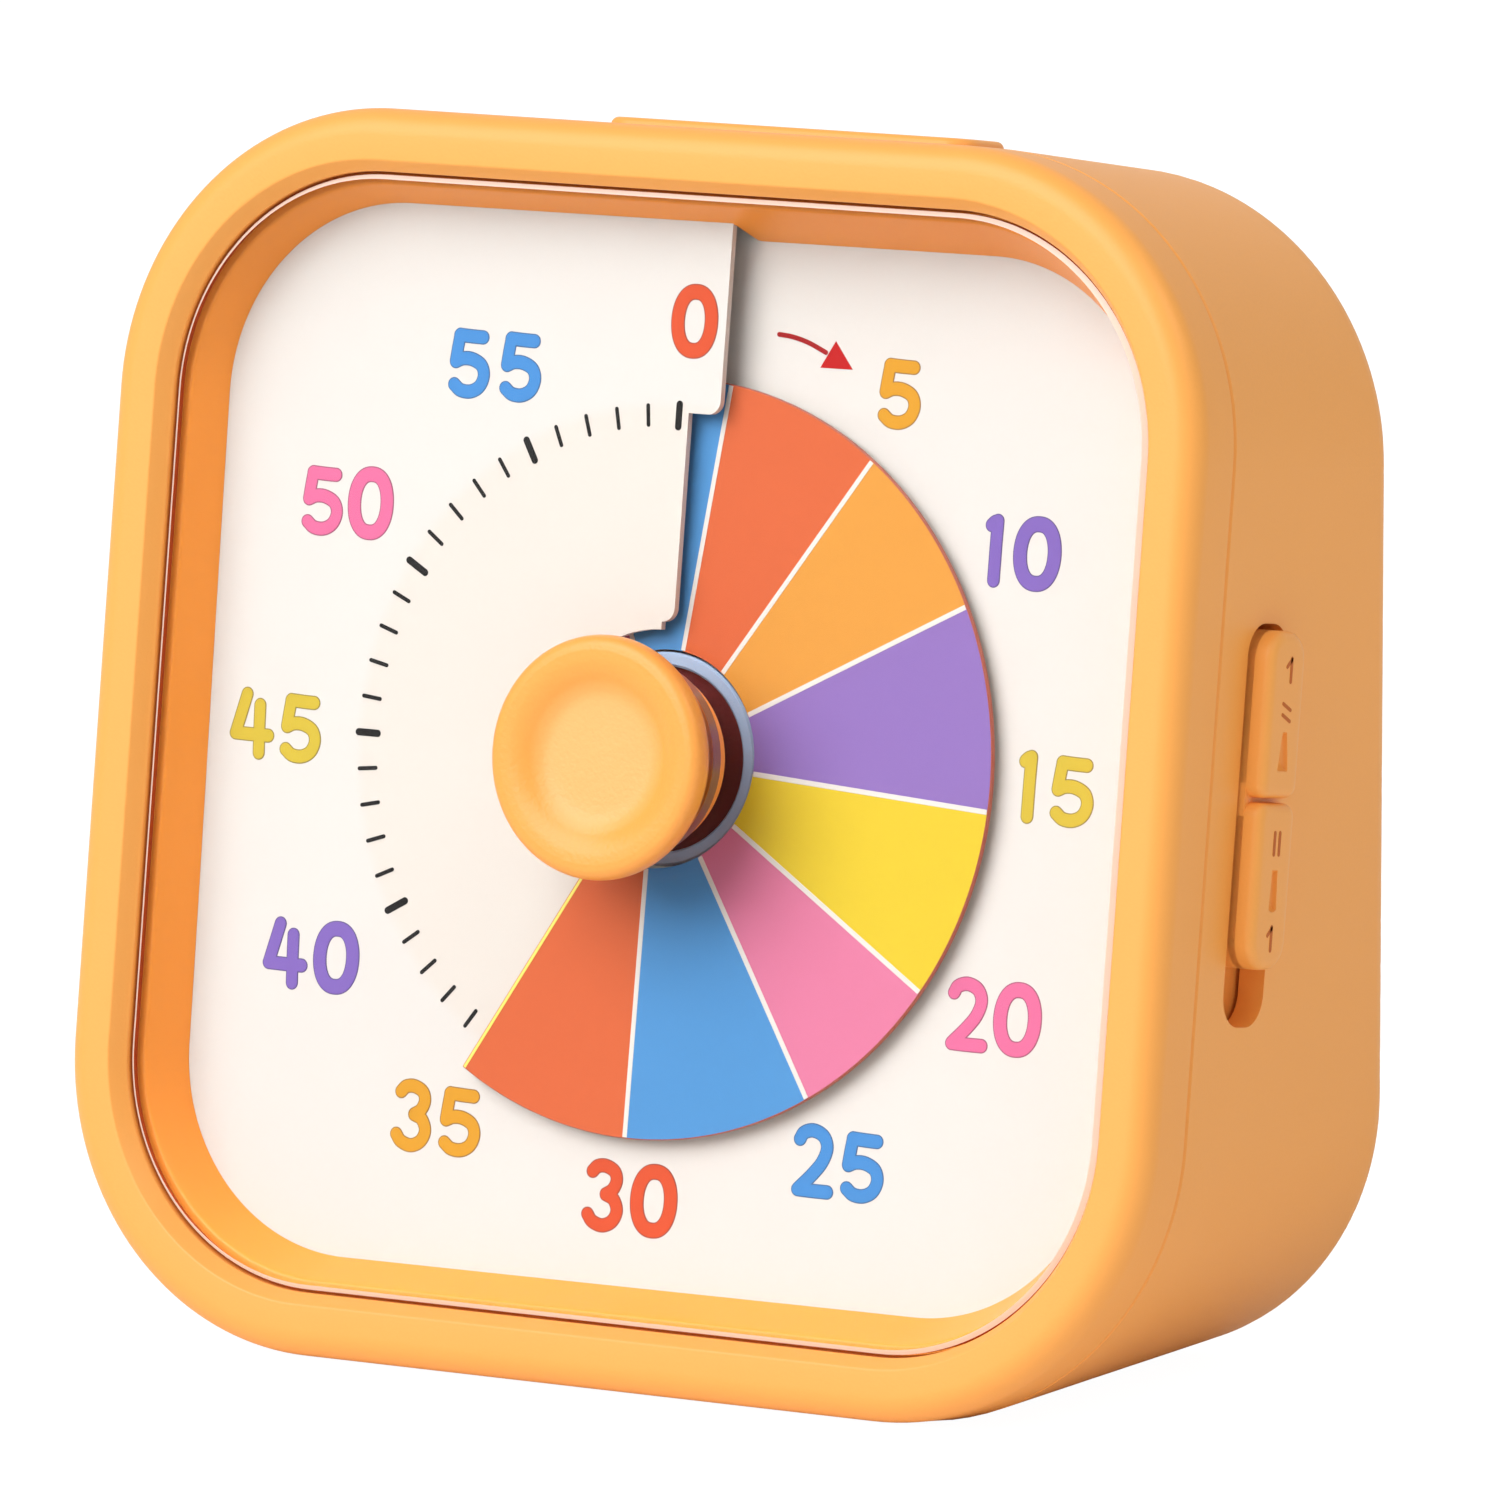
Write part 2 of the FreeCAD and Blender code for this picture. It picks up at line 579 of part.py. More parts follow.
def rear_housing():
    outer = case_solid(0, PARTING + GROOVE, REAR_DEPTH)
    rear_edges = [e for e in outer.Edges if abs(rear_distance(e.CenterOfMass)) < 0.05]
    outer = outer.makeFillet(REAR_ROUND, rear_edges)
    square = FACE / 2
    groove = taper(
        rounded(square - GROOVE, square - GROOVE, CORNER - GROOVE, PARTING),
        rounded(square, square, CORNER, PARTING + GROOVE),
    )
    outer = outer.fuse(groove)
    shell = outer.cut(case_solid(WALL, PARTING, REAR_DEPTH - WALL))
    shell = shell.cut(slab(rounded(38.2, 38.2, 17.1, 4), 5))
    for sx in (-1, 1):
        for sz in (-1, 1):
            x = sx * CORNER_SCREW
            z = sz * CORNER_SCREW
            boss = rod(3.4, 14.0, 40, x, z).common(case_solid(0.5, PARTING, REAR_DEPTH - 0.5))
            shell = shell.fuse(boss)
    for sx in (-1, 1):
        for sz in (-1, 1):
            x = sx * CORNER_SCREW
            z = sz * CORNER_SCREW
            shell = shell.cut(rod(1.35, 13, 40, x, z)).cut(rod(2.7, SCREW_SEAT, 45, x, z))
    slot = side_bar((SLOT_BACK - SLOT_FRONT) / 2, SLOT_TOP, SLOT_BOTTOM, 37.5, 41, 2.1)
    shell = shell.cut(slot)
    hole_half = KEY_HALF + SIDE_GAP
    key_hole = box(-hole_half, hole_half, KEY_FRONT - SIDE_GAP, KEY_BACK + SIDE_GAP, 37, 42)
    posts = [e for e in key_hole.Edges if abs(e.CenterOfMass.z - 39.5) < 0.01]
    shell = shell.cut(key_hole.makeFillet(2.2, posts))
    inside = case_solid(1, PARTING, REAR_DEPTH - 1)
    for sx in (-1, 1):
        rib = box(sx * 7.2 - 0.9, sx * 7.2 + 0.9, 14.0, 21.0, 27.2, 34.4)
        lip = box(sx * 5.7 - 0.6, sx * 5.7 + 0.6, 14.0, 21.0, 27.2, 28.5)
        stay = box(sx * 7.2 - 0.9, sx * 7.2 + 0.9, 20.9, 27.0, 27.2, 34.4).common(inside)
        shell = shell.fuse(rib).fuse(lip).fuse(stay)
    for index in range(7):
        x, z = around(-26.6, 2.0, 0 if index == 6 else 4.2, 60 * index)
        shell = shell.cut(rod(0.8, 24, 32, x, z))
    cup = pipe(9.6, 8.7, 22.4, 30, -26.6, 2.0).common(inside)
    shell = shell.fuse(cup)
    placed = place(shell.removeSplitter())
    rear = rear_plane()
    bay = box(-BAY_HALF - 1.2, BAY_HALF + 1.2, rear - 14.0, rear - 1.0, 0.6, 16.4)
    placed = placed.fuse(bay)
    placed = placed.cut(box(-BAY_HALF, BAY_HALF, rear - 12.8, rear + 5, 3.0, 15.2))
    placed = placed.cut(box(-DOOR_HALF, DOOR_HALF, rear - DOOR_THICK - 0.1, rear + 5, DOOR_BOTTOM, DOOR_TOP))
    return above_base(placed).removeSplitter()


def rear_distance(point):
    """How far a point in the face frame stands from the rear plane."""
    turn = math.radians(LEAN)
    return (point.y * math.cos(turn) + point.z * math.sin(turn)) - REAR_DEPTH * math.cos(turn)


def rear_plane():
    """The rear plane's place in the part's own frame."""
    return REAR_DEPTH * math.cos(math.radians(LEAN)) - MIDDLE_DEPTH


def battery_door():
    rear = rear_plane()
    half = DOOR_HALF - 0.25
    plate = box(-half, half, rear - DOOR_THICK, rear, DOOR_BOTTOM + 0.25, DOOR_TOP - 0.25)
    outline = [e for e in plate.Edges if e.CenterOfMass.y > rear - 0.01]
    plate = plate.makeFillet(0.3, outline)
    for index in range(4):
        z = 12.2 - 1.1 * index
        plate = plate.cut(box(-5, 5, rear - 0.4, rear + 1, z, z + 0.5))
    hook = box(-4, 4, rear - 3.2, rear - DOOR_THICK, 14.3, 15.0)
    return plate.fuse(hook).removeSplitter()


def battery_cell():
    rear = rear_plane()
    y = rear - DOOR_THICK - 0.4 - CELL_RADIUS
    z = 9.0
    can = Part.makeCylinder(CELL_RADIUS, CELL_LENGTH, V(-CELL_LENGTH / 2 - 0.4, y, z), V(1, 0, 0))
    can = can.makeFillet(0.5, [e for e in can.Edges if e.Closed])
    nub = Part.makeCylinder(1.9, 1.0, V(CELL_LENGTH / 2 - 0.4, y, z), V(1, 0, 0))
    return can.fuse(nub)


def battery_contact(side):
    """Bent strip that the cell's end bears on, with a tail that leaves the bay."""
    rear = rear_plane()
    y = rear - DOOR_THICK - 0.4 - CELL_RADIUS
    end = CELL_LENGTH / 2 + (0.6 if side > 0 else 0.4)
    outer = side * BAY_HALF
    inner = side * (BAY_HALF - 0.3)
    strip = box(min(outer, inner), max(outer, inner), y - 3.5, y + 3.5, 4.5, 13.5)
    bump = Part.makeCone(2.6, 1.6, BAY_HALF - 0.3 - end, V(inner, y, 9.0), V(-side, 0, 0))
    return strip.fuse(bump).removeSplitter()


def case_screws():
    screws = []
    for sx in (-1, 1):
        for sz in (-1, 1):
            x = sx * CORNER_SCREW
            z = sz * CORNER_SCREW
            head = rod(2.3, SCREW_SEAT, SCREW_SEAT + 1.8, x, z)
            head = head.cut(box(x - 1.5, x + 1.5, SCREW_SEAT + 0.9, 30, z - 0.3, z + 0.3))
            head = head.cut(box(x - 0.3, x + 0.3, SCREW_SEAT + 0.9, 30, z - 1.5, z + 1.5))
            screws.append(head.fuse(rod(1.25, SCREW_TIP, SCREW_SEAT, x, z)))
    return Part.Compound(screws)


FACE_NODES = {
    "clear_lens": clear_lens,
    "dial_frame": dial_frame,
    "dial_plate": dial_plate,
    "time_disc": time_disc,
    "knob": knob,
    "spindle": spindle,
    "hub_ring": hub_ring,
    "hub_felt": hub_felt,
    "drive_wheel": drive_wheel,
    "clutch_washer": clutch_washer,
    "alarm_cam": alarm_cam,
    "third_wheel": third_wheel,
    "fourth_wheel": fourth_wheel,
    "rotor_pinion": rotor_pinion,
    "rotor_magnet": rotor_magnet,
    "movement_plate": movement_plate,
    "movement_case": movement_case,
    "movement_screws": movement_screws,
    "stator_plate": stator_plate,
    "coil_bobbin": coil_bobbin,
    "coil_winding": coil_winding,
    "alarm_contact": alarm_contact,
    "carrier_plate": carrier_plate,
    "circuit_board": circuit_board,
    "board_screws": board_screws,
    "timer_chip": timer_chip,
    "quartz_crystal": quartz_crystal,
    "buzzer": buzzer,
    "buzzer_disc": buzzer_disc,
    "side_slider": side_slider,
    "switch_lever": switch_lever,
    "switch_body": switch_body,
    "top_key": top_key,
    "key_board": key_board,
    "push_switch": push_switch,
    "case_screws": case_screws,
}

for node, make in FACE_NODES.items():
    save(place(make()), node)

save(above_base(place(front_bezel())), "front_bezel")
save(rear_housing(), "rear_housing")
save(battery_door(), "battery_door")
save(battery_cell(), "battery_cell")
save(battery_contact(1), "battery_contact_plus")
save(battery_contact(-1), "battery_contact_minus")
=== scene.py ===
import math

import bpy
import numpy as np
from mathutils import Matrix, Vector


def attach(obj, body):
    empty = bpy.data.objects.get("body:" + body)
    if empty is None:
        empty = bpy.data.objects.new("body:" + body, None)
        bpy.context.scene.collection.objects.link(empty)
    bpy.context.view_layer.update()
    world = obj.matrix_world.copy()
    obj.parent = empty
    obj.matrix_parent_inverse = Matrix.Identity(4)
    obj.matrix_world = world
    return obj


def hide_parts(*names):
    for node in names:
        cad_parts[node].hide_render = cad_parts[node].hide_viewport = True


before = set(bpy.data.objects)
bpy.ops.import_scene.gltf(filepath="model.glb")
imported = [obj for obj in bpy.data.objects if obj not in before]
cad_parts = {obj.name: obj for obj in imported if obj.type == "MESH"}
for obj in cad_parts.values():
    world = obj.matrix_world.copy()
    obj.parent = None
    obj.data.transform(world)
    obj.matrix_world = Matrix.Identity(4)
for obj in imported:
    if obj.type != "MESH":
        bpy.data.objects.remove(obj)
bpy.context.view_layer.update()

# Every size below is in millimetres in the face frame: X to the right, Y back from the
# bezel's front plane, Z up along the face, with the dial's axis as the origin.
LEAN = math.radians(8.0)
MIDDLE_DEPTH = 11.3
BASE_DROP = 40.0

FACE_HALF = 40.0
FACE_CORNER = 18.9
PARTING = 5.0
FLAT_HALF = 36.75
OPENING_HALF = 35.95
LENS_HALF = 35.75
LENS_CORNER = 14.65
LENS_FRONT = 1.25
LENS_BACK = 2.4
LENS_HOLE = 6.3

MINUTES = 60.0
PITCH = 2.2
DIAL_ZERO_DEPTH = 7.0
SLIT_EDGE = 3.0
TAB_BOTTOM = 22.0
HUB_SIDE = 0.7
DISC_BEHIND = 1.15
DISC_FIRST = 35.35
DISC_LAST = 95.2
DISC_RADIUS = 24.2
DISC_HOLE = 6.95
DISC_THICK = 0.4
TICK_RADIUS = 21.8
KNOB_FRONT = -3.15
SLIDER_FACE = 41.6
SLIDER_MIDDLE = 11.1
SLIDER_HALF = 2.3
SHIELD_Y = (7.7, 14.5)
INK = 0.02


def place(points):
    """Face frame in millimetres to the part's frame in metres.

    Points are turned back about X by the lean, then moved over the base.
    """
    x, y, z = np.moveaxis(np.asarray(points, float), -1, 0)
    back = y * math.cos(LEAN) + z * math.sin(LEAN) - MIDDLE_DEPTH
    up = z * math.cos(LEAN) - y * math.sin(LEAN) + BASE_DROP
    return np.stack([x, back, up], -1) / 1000.0


def clock(minutes):
    """Unit vector in the face at a dial minute: sine and cosine of six degrees for each minute."""
    angle = np.radians(6.0 * np.asarray(minutes, float))
    return np.sin(angle), np.cos(angle)


def dial_depth(x, z):
    """Depth of the dial's front: the zero depth less one pitch for each whole turn.

    Minutes count past 60 on the raised end left of the slit.
    """
    minutes = np.degrees(np.arctan2(x, z)) / 6.0
    minutes = np.where(minutes < 0, minutes + MINUTES, minutes)
    edge = np.where(z > TAB_BOTTOM, SLIT_EDGE, HUB_SIDE)
    raised = (x < edge) & (z > 0) & (minutes < 15.0)
    return DIAL_ZERO_DEPTH - PITCH * (minutes + np.where(raised, MINUTES, 0.0)) / MINUTES


def disc_depth(minutes):
    """Depth of the disc's front, which climbs one pitch a turn, a steady distance behind the dial."""
    return DIAL_ZERO_DEPTH + DISC_BEHIND - PITCH * np.asarray(minutes, float) / MINUTES


# Meshes
def lattice(rows, cols, wrap_rows=False, wrap_cols=False, start=0):
    """Quads between neighbours of a grid whose points are numbered row by row."""
    r = np.arange(rows if wrap_rows else rows - 1)
    c = np.arange(cols if wrap_cols else cols - 1)
    r, c = np.meshgrid(r, c, indexing="ij")
    down = (r + 1) % rows
    across = (c + 1) % cols
    quads = np.stack([r * cols + c, r * cols + across, down * cols + across, down * cols + c], -1)
    return quads.reshape(-1, 4) + start


def enclosed(points, faces):
    """Six times the volume inside closed faces: the sum of the triple product over each fan triangle."""
    fans = np.array([(face[0], *pair) for face in faces for pair in zip(face[1:-1], face[2:])])
    first, second, third = (points[fans[:, corner]] for corner in range(3))
    return float((first * np.cross(second, third)).sum())


def piece(name, body, parts, materials, replaces=(), sharp=35.0, on_base=False):
    """Joins grids into one mesh, with the faces of each turned to point outwards.

    Each part is (points, faces, material number or one number a face, and UVs or None).
    """
    points, faces, looks, maps, count = [], [], [], [], 0
    for corners, quads, look, uv in parts:
        corners = np.asarray(corners, float).reshape(-1, 3)
        if enclosed(place(corners), quads) < 0:
            quads = [face[::-1] for face in quads]
        points.append(corners)
        faces += [tuple(int(i) + count for i in face) for face in quads]
        looks.append(np.broadcast_to(np.asarray(look), (len(quads),)))
        maps.append(np.zeros((len(corners), 2)) if uv is None else np.asarray(uv, float).reshape(-1, 2))
        count += len(corners)
    points = place(np.concatenate(points))
    if on_base:
        points[:, 2] = np.maximum(points[:, 2], 0.0)
    mesh = bpy.data.meshes.new(name)
    mesh.from_pydata(points.tolist(), [], faces)
    mesh.polygons.foreach_set("material_index", np.concatenate(looks).astype(np.int32))
    layer = mesh.uv_layers.new(name="UVMap")
    corner_of = np.empty(len(mesh.loops), np.int32)
    mesh.loops.foreach_get("vertex_index", corner_of)
    layer.data.foreach_set("uv", np.concatenate(maps)[corner_of].astype(np.float32).ravel())
    for material in materials:
        mesh.materials.append(material)
    mesh.shade_smooth()
    mesh.set_sharp_from_angle(angle=math.radians(sharp))
    mesh.update()
    made = bpy.data.objects.new(name, mesh)
    bpy.context.scene.collection.objects.link(made)
    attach(made, body)
    if replaces:
        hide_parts(*replaces)
    return made


def arc(centre, radius, first, last, steps=8):
    """Points on a circle from one angle in degrees to another."""
    angle = np.radians(np.linspace(first, last, steps))
    return np.stack([centre[0] + radius * np.cos(angle), centre[1] + radius * np.sin(angle)], -1)


def smooth_line(knots, steps=10):
    """Catmull-Rom curve: each stretch is the cubic through its two knots.

    Its end slopes are half the step between the knots' neighbours.
    """
    knots = np.asarray(knots, float)
    ends = np.concatenate([[2 * knots[0] - knots[1]], knots, [2 * knots[-1] - knots[-2]]])
    before, here, there, after = ends[:-3, None], ends[1:-2, None], ends[2:-1, None], ends[3:, None]
    t = np.linspace(0, 1, steps, endpoint=False)[None, :, None]
    curve = 0.5 * (
        2 * here
        + (there - before) * t
        + (2 * before - 5 * here + 4 * there - after) * t**2
        + (3 * here - before - 3 * there + after) * t**3
    )
    return np.concatenate([curve.reshape(-1, knots.shape[1]), knots[-1:]])


def square_round(half, corner, inset=0.0, corner_steps=40, side_steps=10):
    """Round-cornered square moved in by an inset: four quarter circles joined by straight sides."""
    radius = np.maximum(corner - inset, 0.01)
    shift = half - corner
    turn = np.linspace(0, 90, corner_steps)
    loops = []
    for quarter, (sx, sz) in enumerate(((1, 1), (-1, 1), (-1, -1), (1, -1))):
        angle = np.radians(turn + 90 * quarter)
        bend = np.stack([sx * shift + radius * np.cos(angle), sz * shift + radius * np.sin(angle)], -1)
        ahead = np.radians(90 * (quarter + 1))
        nx, nz = ((-1, 1), (-1, -1), (1, -1), (1, 1))[quarter]
        following = np.array([nx * shift + radius * np.cos(ahead), nz * shift + radius * np.sin(ahead)])
        share = np.linspace(0, 1, side_steps + 1)[1:-1, None]
        loops += [bend, bend[-1] * (1 - share) + following * share]
    return np.concatenate(loops)


def ring_sweep(profile, half, corner):
    """Closed profile of (inset, depth) points carried round a round-cornered square.

    Rows follow the profile and columns the square.
    """
    rows = []
    for inset, depth in profile:
        loop = square_round(half, corner, inset)
        rows.append(np.stack([loop[:, 0], np.full(len(loop), depth), loop[:, 1]], -1))
    return np.stack(rows)


def spun(profile, steps=144):
    """Surface of revolution: each (radius, depth) point of the profile turned once about the dial's axis."""
    profile = np.asarray(profile, float)
    turn = np.linspace(0, 2 * math.pi, steps, endpoint=False)
    radius, depth = profile[:, 0, None], profile[:, 1, None]
    return np.stack([radius * np.sin(turn), depth + 0 * turn, radius * np.cos(turn)], -1)


def stroke(line, radius, lift, closed=False, depth=dial_depth, foot=0.01):
    """Ridge along a line on the dial: a flat-topped section as wide as the pen.

    It closes at each open end along a half circle.
    """
    line = np.asarray(line, float)
    if closed:
        along = np.roll(line, -1, 0) - np.roll(line, 1, 0)
        width = np.full(len(line), radius)
    else:
        first, last = line[0], line[-1]
        start = (line[1] - first) / np.linalg.norm(line[1] - first)
        end = (last - line[-2]) / np.linalg.norm(last - line[-2])
        swing = np.radians(np.linspace(88, 10, 8))
        head = first - start * (radius * np.sin(swing))[:, None]
        tail = last + end * (radius * np.sin(swing))[::-1, None]
        taper = radius * np.cos(swing)
        width = np.concatenate([taper, np.full(len(line), radius), taper[::-1]])
        line = np.concatenate([head, line, tail])
        along = np.gradient(line, axis=0)
        along[:8] = start
        along[-8:] = end
    along = along / np.linalg.norm(along, axis=1, keepdims=True)
    side = np.stack([along[:, 1], -along[:, 0]], -1)
    across = np.array([-1.0, -0.97, 0.97, 1.0])
    height = np.array([-foot, lift, lift, -foot])
    flat = line[:, None, :] + side[:, None, :] * (width[:, None] * across)[..., None]
    deep = depth(flat[..., 0], flat[..., 1]) - height
    points = np.stack([flat[..., 0], deep, flat[..., 1]], -1)
    count = len(line)
    faces = [tuple(q) for q in lattice(count, 4, wrap_rows=closed, wrap_cols=True)]
    if not closed:
        faces += [(3, 2, 1, 0), tuple(range(4 * count - 4, 4 * count))]
    return points, faces


# Node materials
def linear(red, green, blue):
    """Screen colour from 0 to 255 as the scene-linear colour that a shader takes."""
    share = np.array([red, green, blue]) / 255.0
    value = np.where(share <= 0.04045, share / 12.92, ((share + 0.055) / 1.055) ** 2.4)
    return (*value.tolist(), 1.0)


def group_of(name, inputs, outputs):
    """Empty shader group with named sockets, and its two end nodes."""
    group = bpy.data.node_groups.new(name, "ShaderNodeTree")
    for label, kind, value in inputs:
        socket = group.interface.new_socket(name=label, in_out="INPUT", socket_type=kind)
        if value is not None:
            socket.default_value = value
    for label, kind in outputs:
        group.interface.new_socket(name=label, in_out="OUTPUT", socket_type=kind)
    return group, group.nodes.new("NodeGroupInput"), group.nodes.new("NodeGroupOutput")


def moulded_grain_group():
    """Fine spark-eroded grain with a slow drift in tone, as a mould leaves on satin plastic."""
    group, given, result = group_of(
        "moulded_grain",
        (
            ("Colour", "NodeSocketColor", (0.8, 0.8, 0.8, 1.0)),
            ("Drift", "NodeSocketFloat", 0.05),
            ("Roughness", "NodeSocketFloat", 0.4),
            ("Grain Scale", "NodeSocketFloat", 6000.0),
            ("Grain Height", "NodeSocketFloat", 0.00001),
        ),
        (("Colour", "NodeSocketColor"), ("Roughness", "NodeSocketFloat"), ("Normal", "NodeSocketVector")),
    )
    nodes, links = group.nodes, group.links
    where = nodes.new("ShaderNodeTexCoord")
    grain = nodes.new("ShaderNodeTexNoise")
    grain.inputs["Detail"].default_value = 3.0
    links.new(where.outputs["Object"], grain.inputs["Vector"])
    links.new(given.outputs["Grain Scale"], grain.inputs["Scale"])
    bump = nodes.new("ShaderNodeBump")
    bump.inputs["Strength"].default_value = 1.0
    links.new(given.outputs["Grain Height"], bump.inputs["Distance"])
    links.new(grain.outputs["Fac"], bump.inputs["Height"])
    links.new(bump.outputs["Normal"], result.inputs["Normal"])
    slow = nodes.new("ShaderNodeTexNoise")
    slow.inputs["Scale"].default_value = 45.0
    slow.inputs["Detail"].default_value = 2.0
    links.new(where.outputs["Object"], slow.inputs["Vector"])
    both = nodes.new("ShaderNodeMath")
    both.operation = "ADD"
    links.new(slow.outputs["Fac"], both.inputs[0])
    links.new(grain.outputs["Fac"], both.inputs[1])
    centred = nodes.new("ShaderNodeMath")
    centred.operation = "SUBTRACT"
    links.new(both.outputs[0], centred.inputs[0])
    centred.inputs[1].default_value = 1.0
    amount = nodes.new("ShaderNodeMath")
    amount.operation = "MULTIPLY"
    links.new(centred.outputs[0], amount.inputs[0])
    links.new(given.outputs["Drift"], amount.inputs[1])
    tone = nodes.new("ShaderNodeMath")
    tone.operation = "ADD"
    links.new(amount.outputs[0], tone.inputs[0])
    tone.inputs[1].default_value = 1.0
    shade = nodes.new("ShaderNodeVectorMath")
    shade.operation = "SCALE"
    links.new(given.outputs["Colour"], shade.inputs[0])
    links.new(tone.outputs[0], shade.inputs["Scale"])
    links.new(shade.outputs[0], result.inputs["Colour"])
    rough = nodes.new("ShaderNodeMath")
    rough.operation = "ADD"
    links.new(given.outputs["Roughness"], rough.inputs[0])
    links.new(amount.outputs[0], rough.inputs[1])
    links.new(rough.outputs[0], result.inputs["Roughness"])
    return group


MOULDED_GRAIN = moulded_grain_group()


def plastic(name, colour, drift=0.05, roughness=0.4, grain=6000.0, height=0.00001, **constants):
    """Principled plastic whose colour, roughness and normal come from the shared grain."""
    material = bpy.data.materials.new(name)
    material.use_nodes = True
    nodes, links = material.node_tree.nodes, material.node_tree.links
    shader = nodes["Principled BSDF"]
    surface = nodes.new("ShaderNodeGroup")
    surface.node_tree = MOULDED_GRAIN
    surface.inputs["Colour"].default_value = colour
    surface.inputs["Drift"].default_value = drift
    surface.inputs["Roughness"].default_value = roughness
    surface.inputs["Grain Scale"].default_value = grain
    surface.inputs["Grain Height"].default_value = height
    links.new(surface.outputs["Colour"], shader.inputs["Base Color"])
    links.new(surface.outputs["Roughness"], shader.inputs["Roughness"])
    links.new(surface.outputs["Normal"], shader.inputs["Normal"])
    for socket, value in constants.items():
        shader.inputs[socket.replace("_", " ")].default_value = value
    return material


def clear_plastic(name):
    """Clear polished sheet that lets the lamps' light straight through to the dial."""
    material = bpy.data.materials.new(name)
    material.use_nodes = True
    nodes, links = material.node_tree.nodes, material.node_tree.links
    shader = nodes["Principled BSDF"]
    shader.inputs["Base Color"].default_value = (1.0, 1.0, 1.0, 1.0)
    shader.inputs["Roughness"].default_value = 0.0
    shader.inputs["IOR"].default_value = 1.2
    shader.inputs["Transmission Weight"].default_value = 1.0
    through = nodes.new("ShaderNodeBsdfTransparent")
    path = nodes.new("ShaderNodeLightPath")
    either = nodes.new("ShaderNodeMixShader")
    links.new(path.outputs["Is Shadow Ray"], either.inputs[0])
    links.new(shader.outputs[0], either.inputs[1])
    links.new(through.outputs[0], either.inputs[2])
    links.new(either.outputs[0], nodes["Material Output"].inputs["Surface"])
    return material


def round_field(material, centre, radius, soft, inside, outside):
    """Gives a material one colour near the dial's axis and another beyond a radius in millimetres.

    The edge between them is soft.
    """
    nodes, links = material.node_tree.nodes, material.node_tree.links
    where = nodes.new("ShaderNodeTexCoord")
    face = nodes.new("ShaderNodeMapping")
    face.vector_type = "TEXTURE"
    face.inputs["Location"].default_value = place(centre).tolist()
    face.inputs["Rotation"].default_value = (-LEAN, 0.0, 0.0)
    face.inputs["Scale"].default_value = (0.04, 100.0, 0.04)
    reach = nodes.new("ShaderNodeTexGradient")
    reach.gradient_type = "SPHERICAL"
    tint = nodes.new("ShaderNodeValToRGB")
    for stop, distance, colour in ((0, radius + soft, outside), (1, radius - soft, inside)):
        tint.color_ramp.elements[stop].position = 1.0 - distance / 40.0
        tint.color_ramp.elements[stop].color = colour
    links.new(where.outputs["Object"], face.inputs["Vector"])
    links.new(face.outputs["Vector"], reach.inputs["Vector"])
    links.new(reach.outputs["Fac"], tint.inputs["Fac"])
    surface = next(node for node in nodes if node.type == "GROUP")
    links.new(tint.outputs["Color"], surface.inputs["Colour"])
    return material


ORANGE = plastic("orange_satin", linear(255, 174, 82), 0.05, 0.42, 5000.0, 0.000012)
KNOB_ORANGE = plastic("orange_knob", linear(255, 171, 78), 0.08, 0.36, 3500.0, 0.00003)
# The knob's dish is painted lighter within 4.3 mm of its axis: a painted highlight for the sheen on the dish
# floor.
round_field(KNOB_ORANGE, (0.0, 0.0, 0.0), 4.3, 0.7, linear(255, 184, 108), linear(255, 170, 76))
# Darker copy of the orange for the recessed inner frame: painted shade.
ORANGE_FRAME_PAINTED_SHADE = plastic(
    "orange_inner_frame_painted_shade", linear(246, 150, 54), 0.05, 0.38, 5000.0, 0.000006, Specular_IOR_Level=0.3,
)
# Darker orange for the slider's engraved marks: painted shade of the grooves.
GROOVE_SHADE_ORANGE = plastic(
    "orange_painted_groove_shade", linear(200, 104, 36), 0.05, 0.5, 5000.0, 0.000004, Specular_IOR_Level=0.2,
)
LENS = clear_plastic("clear_sheet")
# Opaque white on the clear sheet's chamfer: painted highlight.
LENS_EDGE_HIGHLIGHT = plastic("sheet_edge_painted_highlight", linear(255, 250, 246), 0.02, 0.12, 3000.0, 0.000002)
# Opaque pinkish brown on the clear sheet's hole wall: painted refraction and shade around the knob's skirt.
HOLE_SIDE_REFRACTION_SHADE = plastic("sheet_hole_side_painted_refraction_shade", linear(160, 108, 92), 0.05, 0.3, 3000.0, 0.000002)
# Opaque red on the clear sheet's outer side: painted refraction of the orange around it.
LENS_SIDE_REFRACTION = plastic("sheet_side_painted_refraction", linear(205, 75, 28), 0.05, 0.2, 3000.0, 0.000002)
DIAL_WHITE = plastic(
    "dial_white", linear(203, 199, 194), 0.02, 0.7, 7000.0, 0.000003, Specular_IOR_Level=0.25,
)
round_field(DIAL_WHITE, (0.0, 0.0, 0.0), 22.4, 0.4, linear(203, 196, 188), linear(203, 199, 194))
GREY = plastic("ring_grey", linear(150, 172, 200), 0.15, 0.35, 7000.0, 0.00001)
# Dark maroon of the hub washer: painted shade for the dark inside of the hole round the knob's stem.
FELT_PAINTED_SHADE = plastic("felt_maroon", linear(88, 0, 2), 0.3, 0.9, 3000.0, 0.00004, Sheen_Weight=0.15)
STEEL = plastic("plain_steel", linear(160, 160, 163), 0.1, 0.3, 3000.0, 0.000003, Metallic=1.0)
ZINC = plastic("zinc_plate", linear(185, 187, 192), 0.08, 0.25, 3000.0, 0.000003, Metallic=1.0)
BRASS = plastic("turned_brass", linear(205, 165, 90), 0.08, 0.28, 3000.0, 0.000003, Metallic=1.0)
COPPER = plastic("lacquered_copper", linear(185, 95, 50), 0.1, 0.3, 9000.0, 0.00003, Metallic=1.0)
ACETAL = plastic("acetal_white", linear(236, 236, 228), 0.03, 0.35, 5000.0, 0.000003)
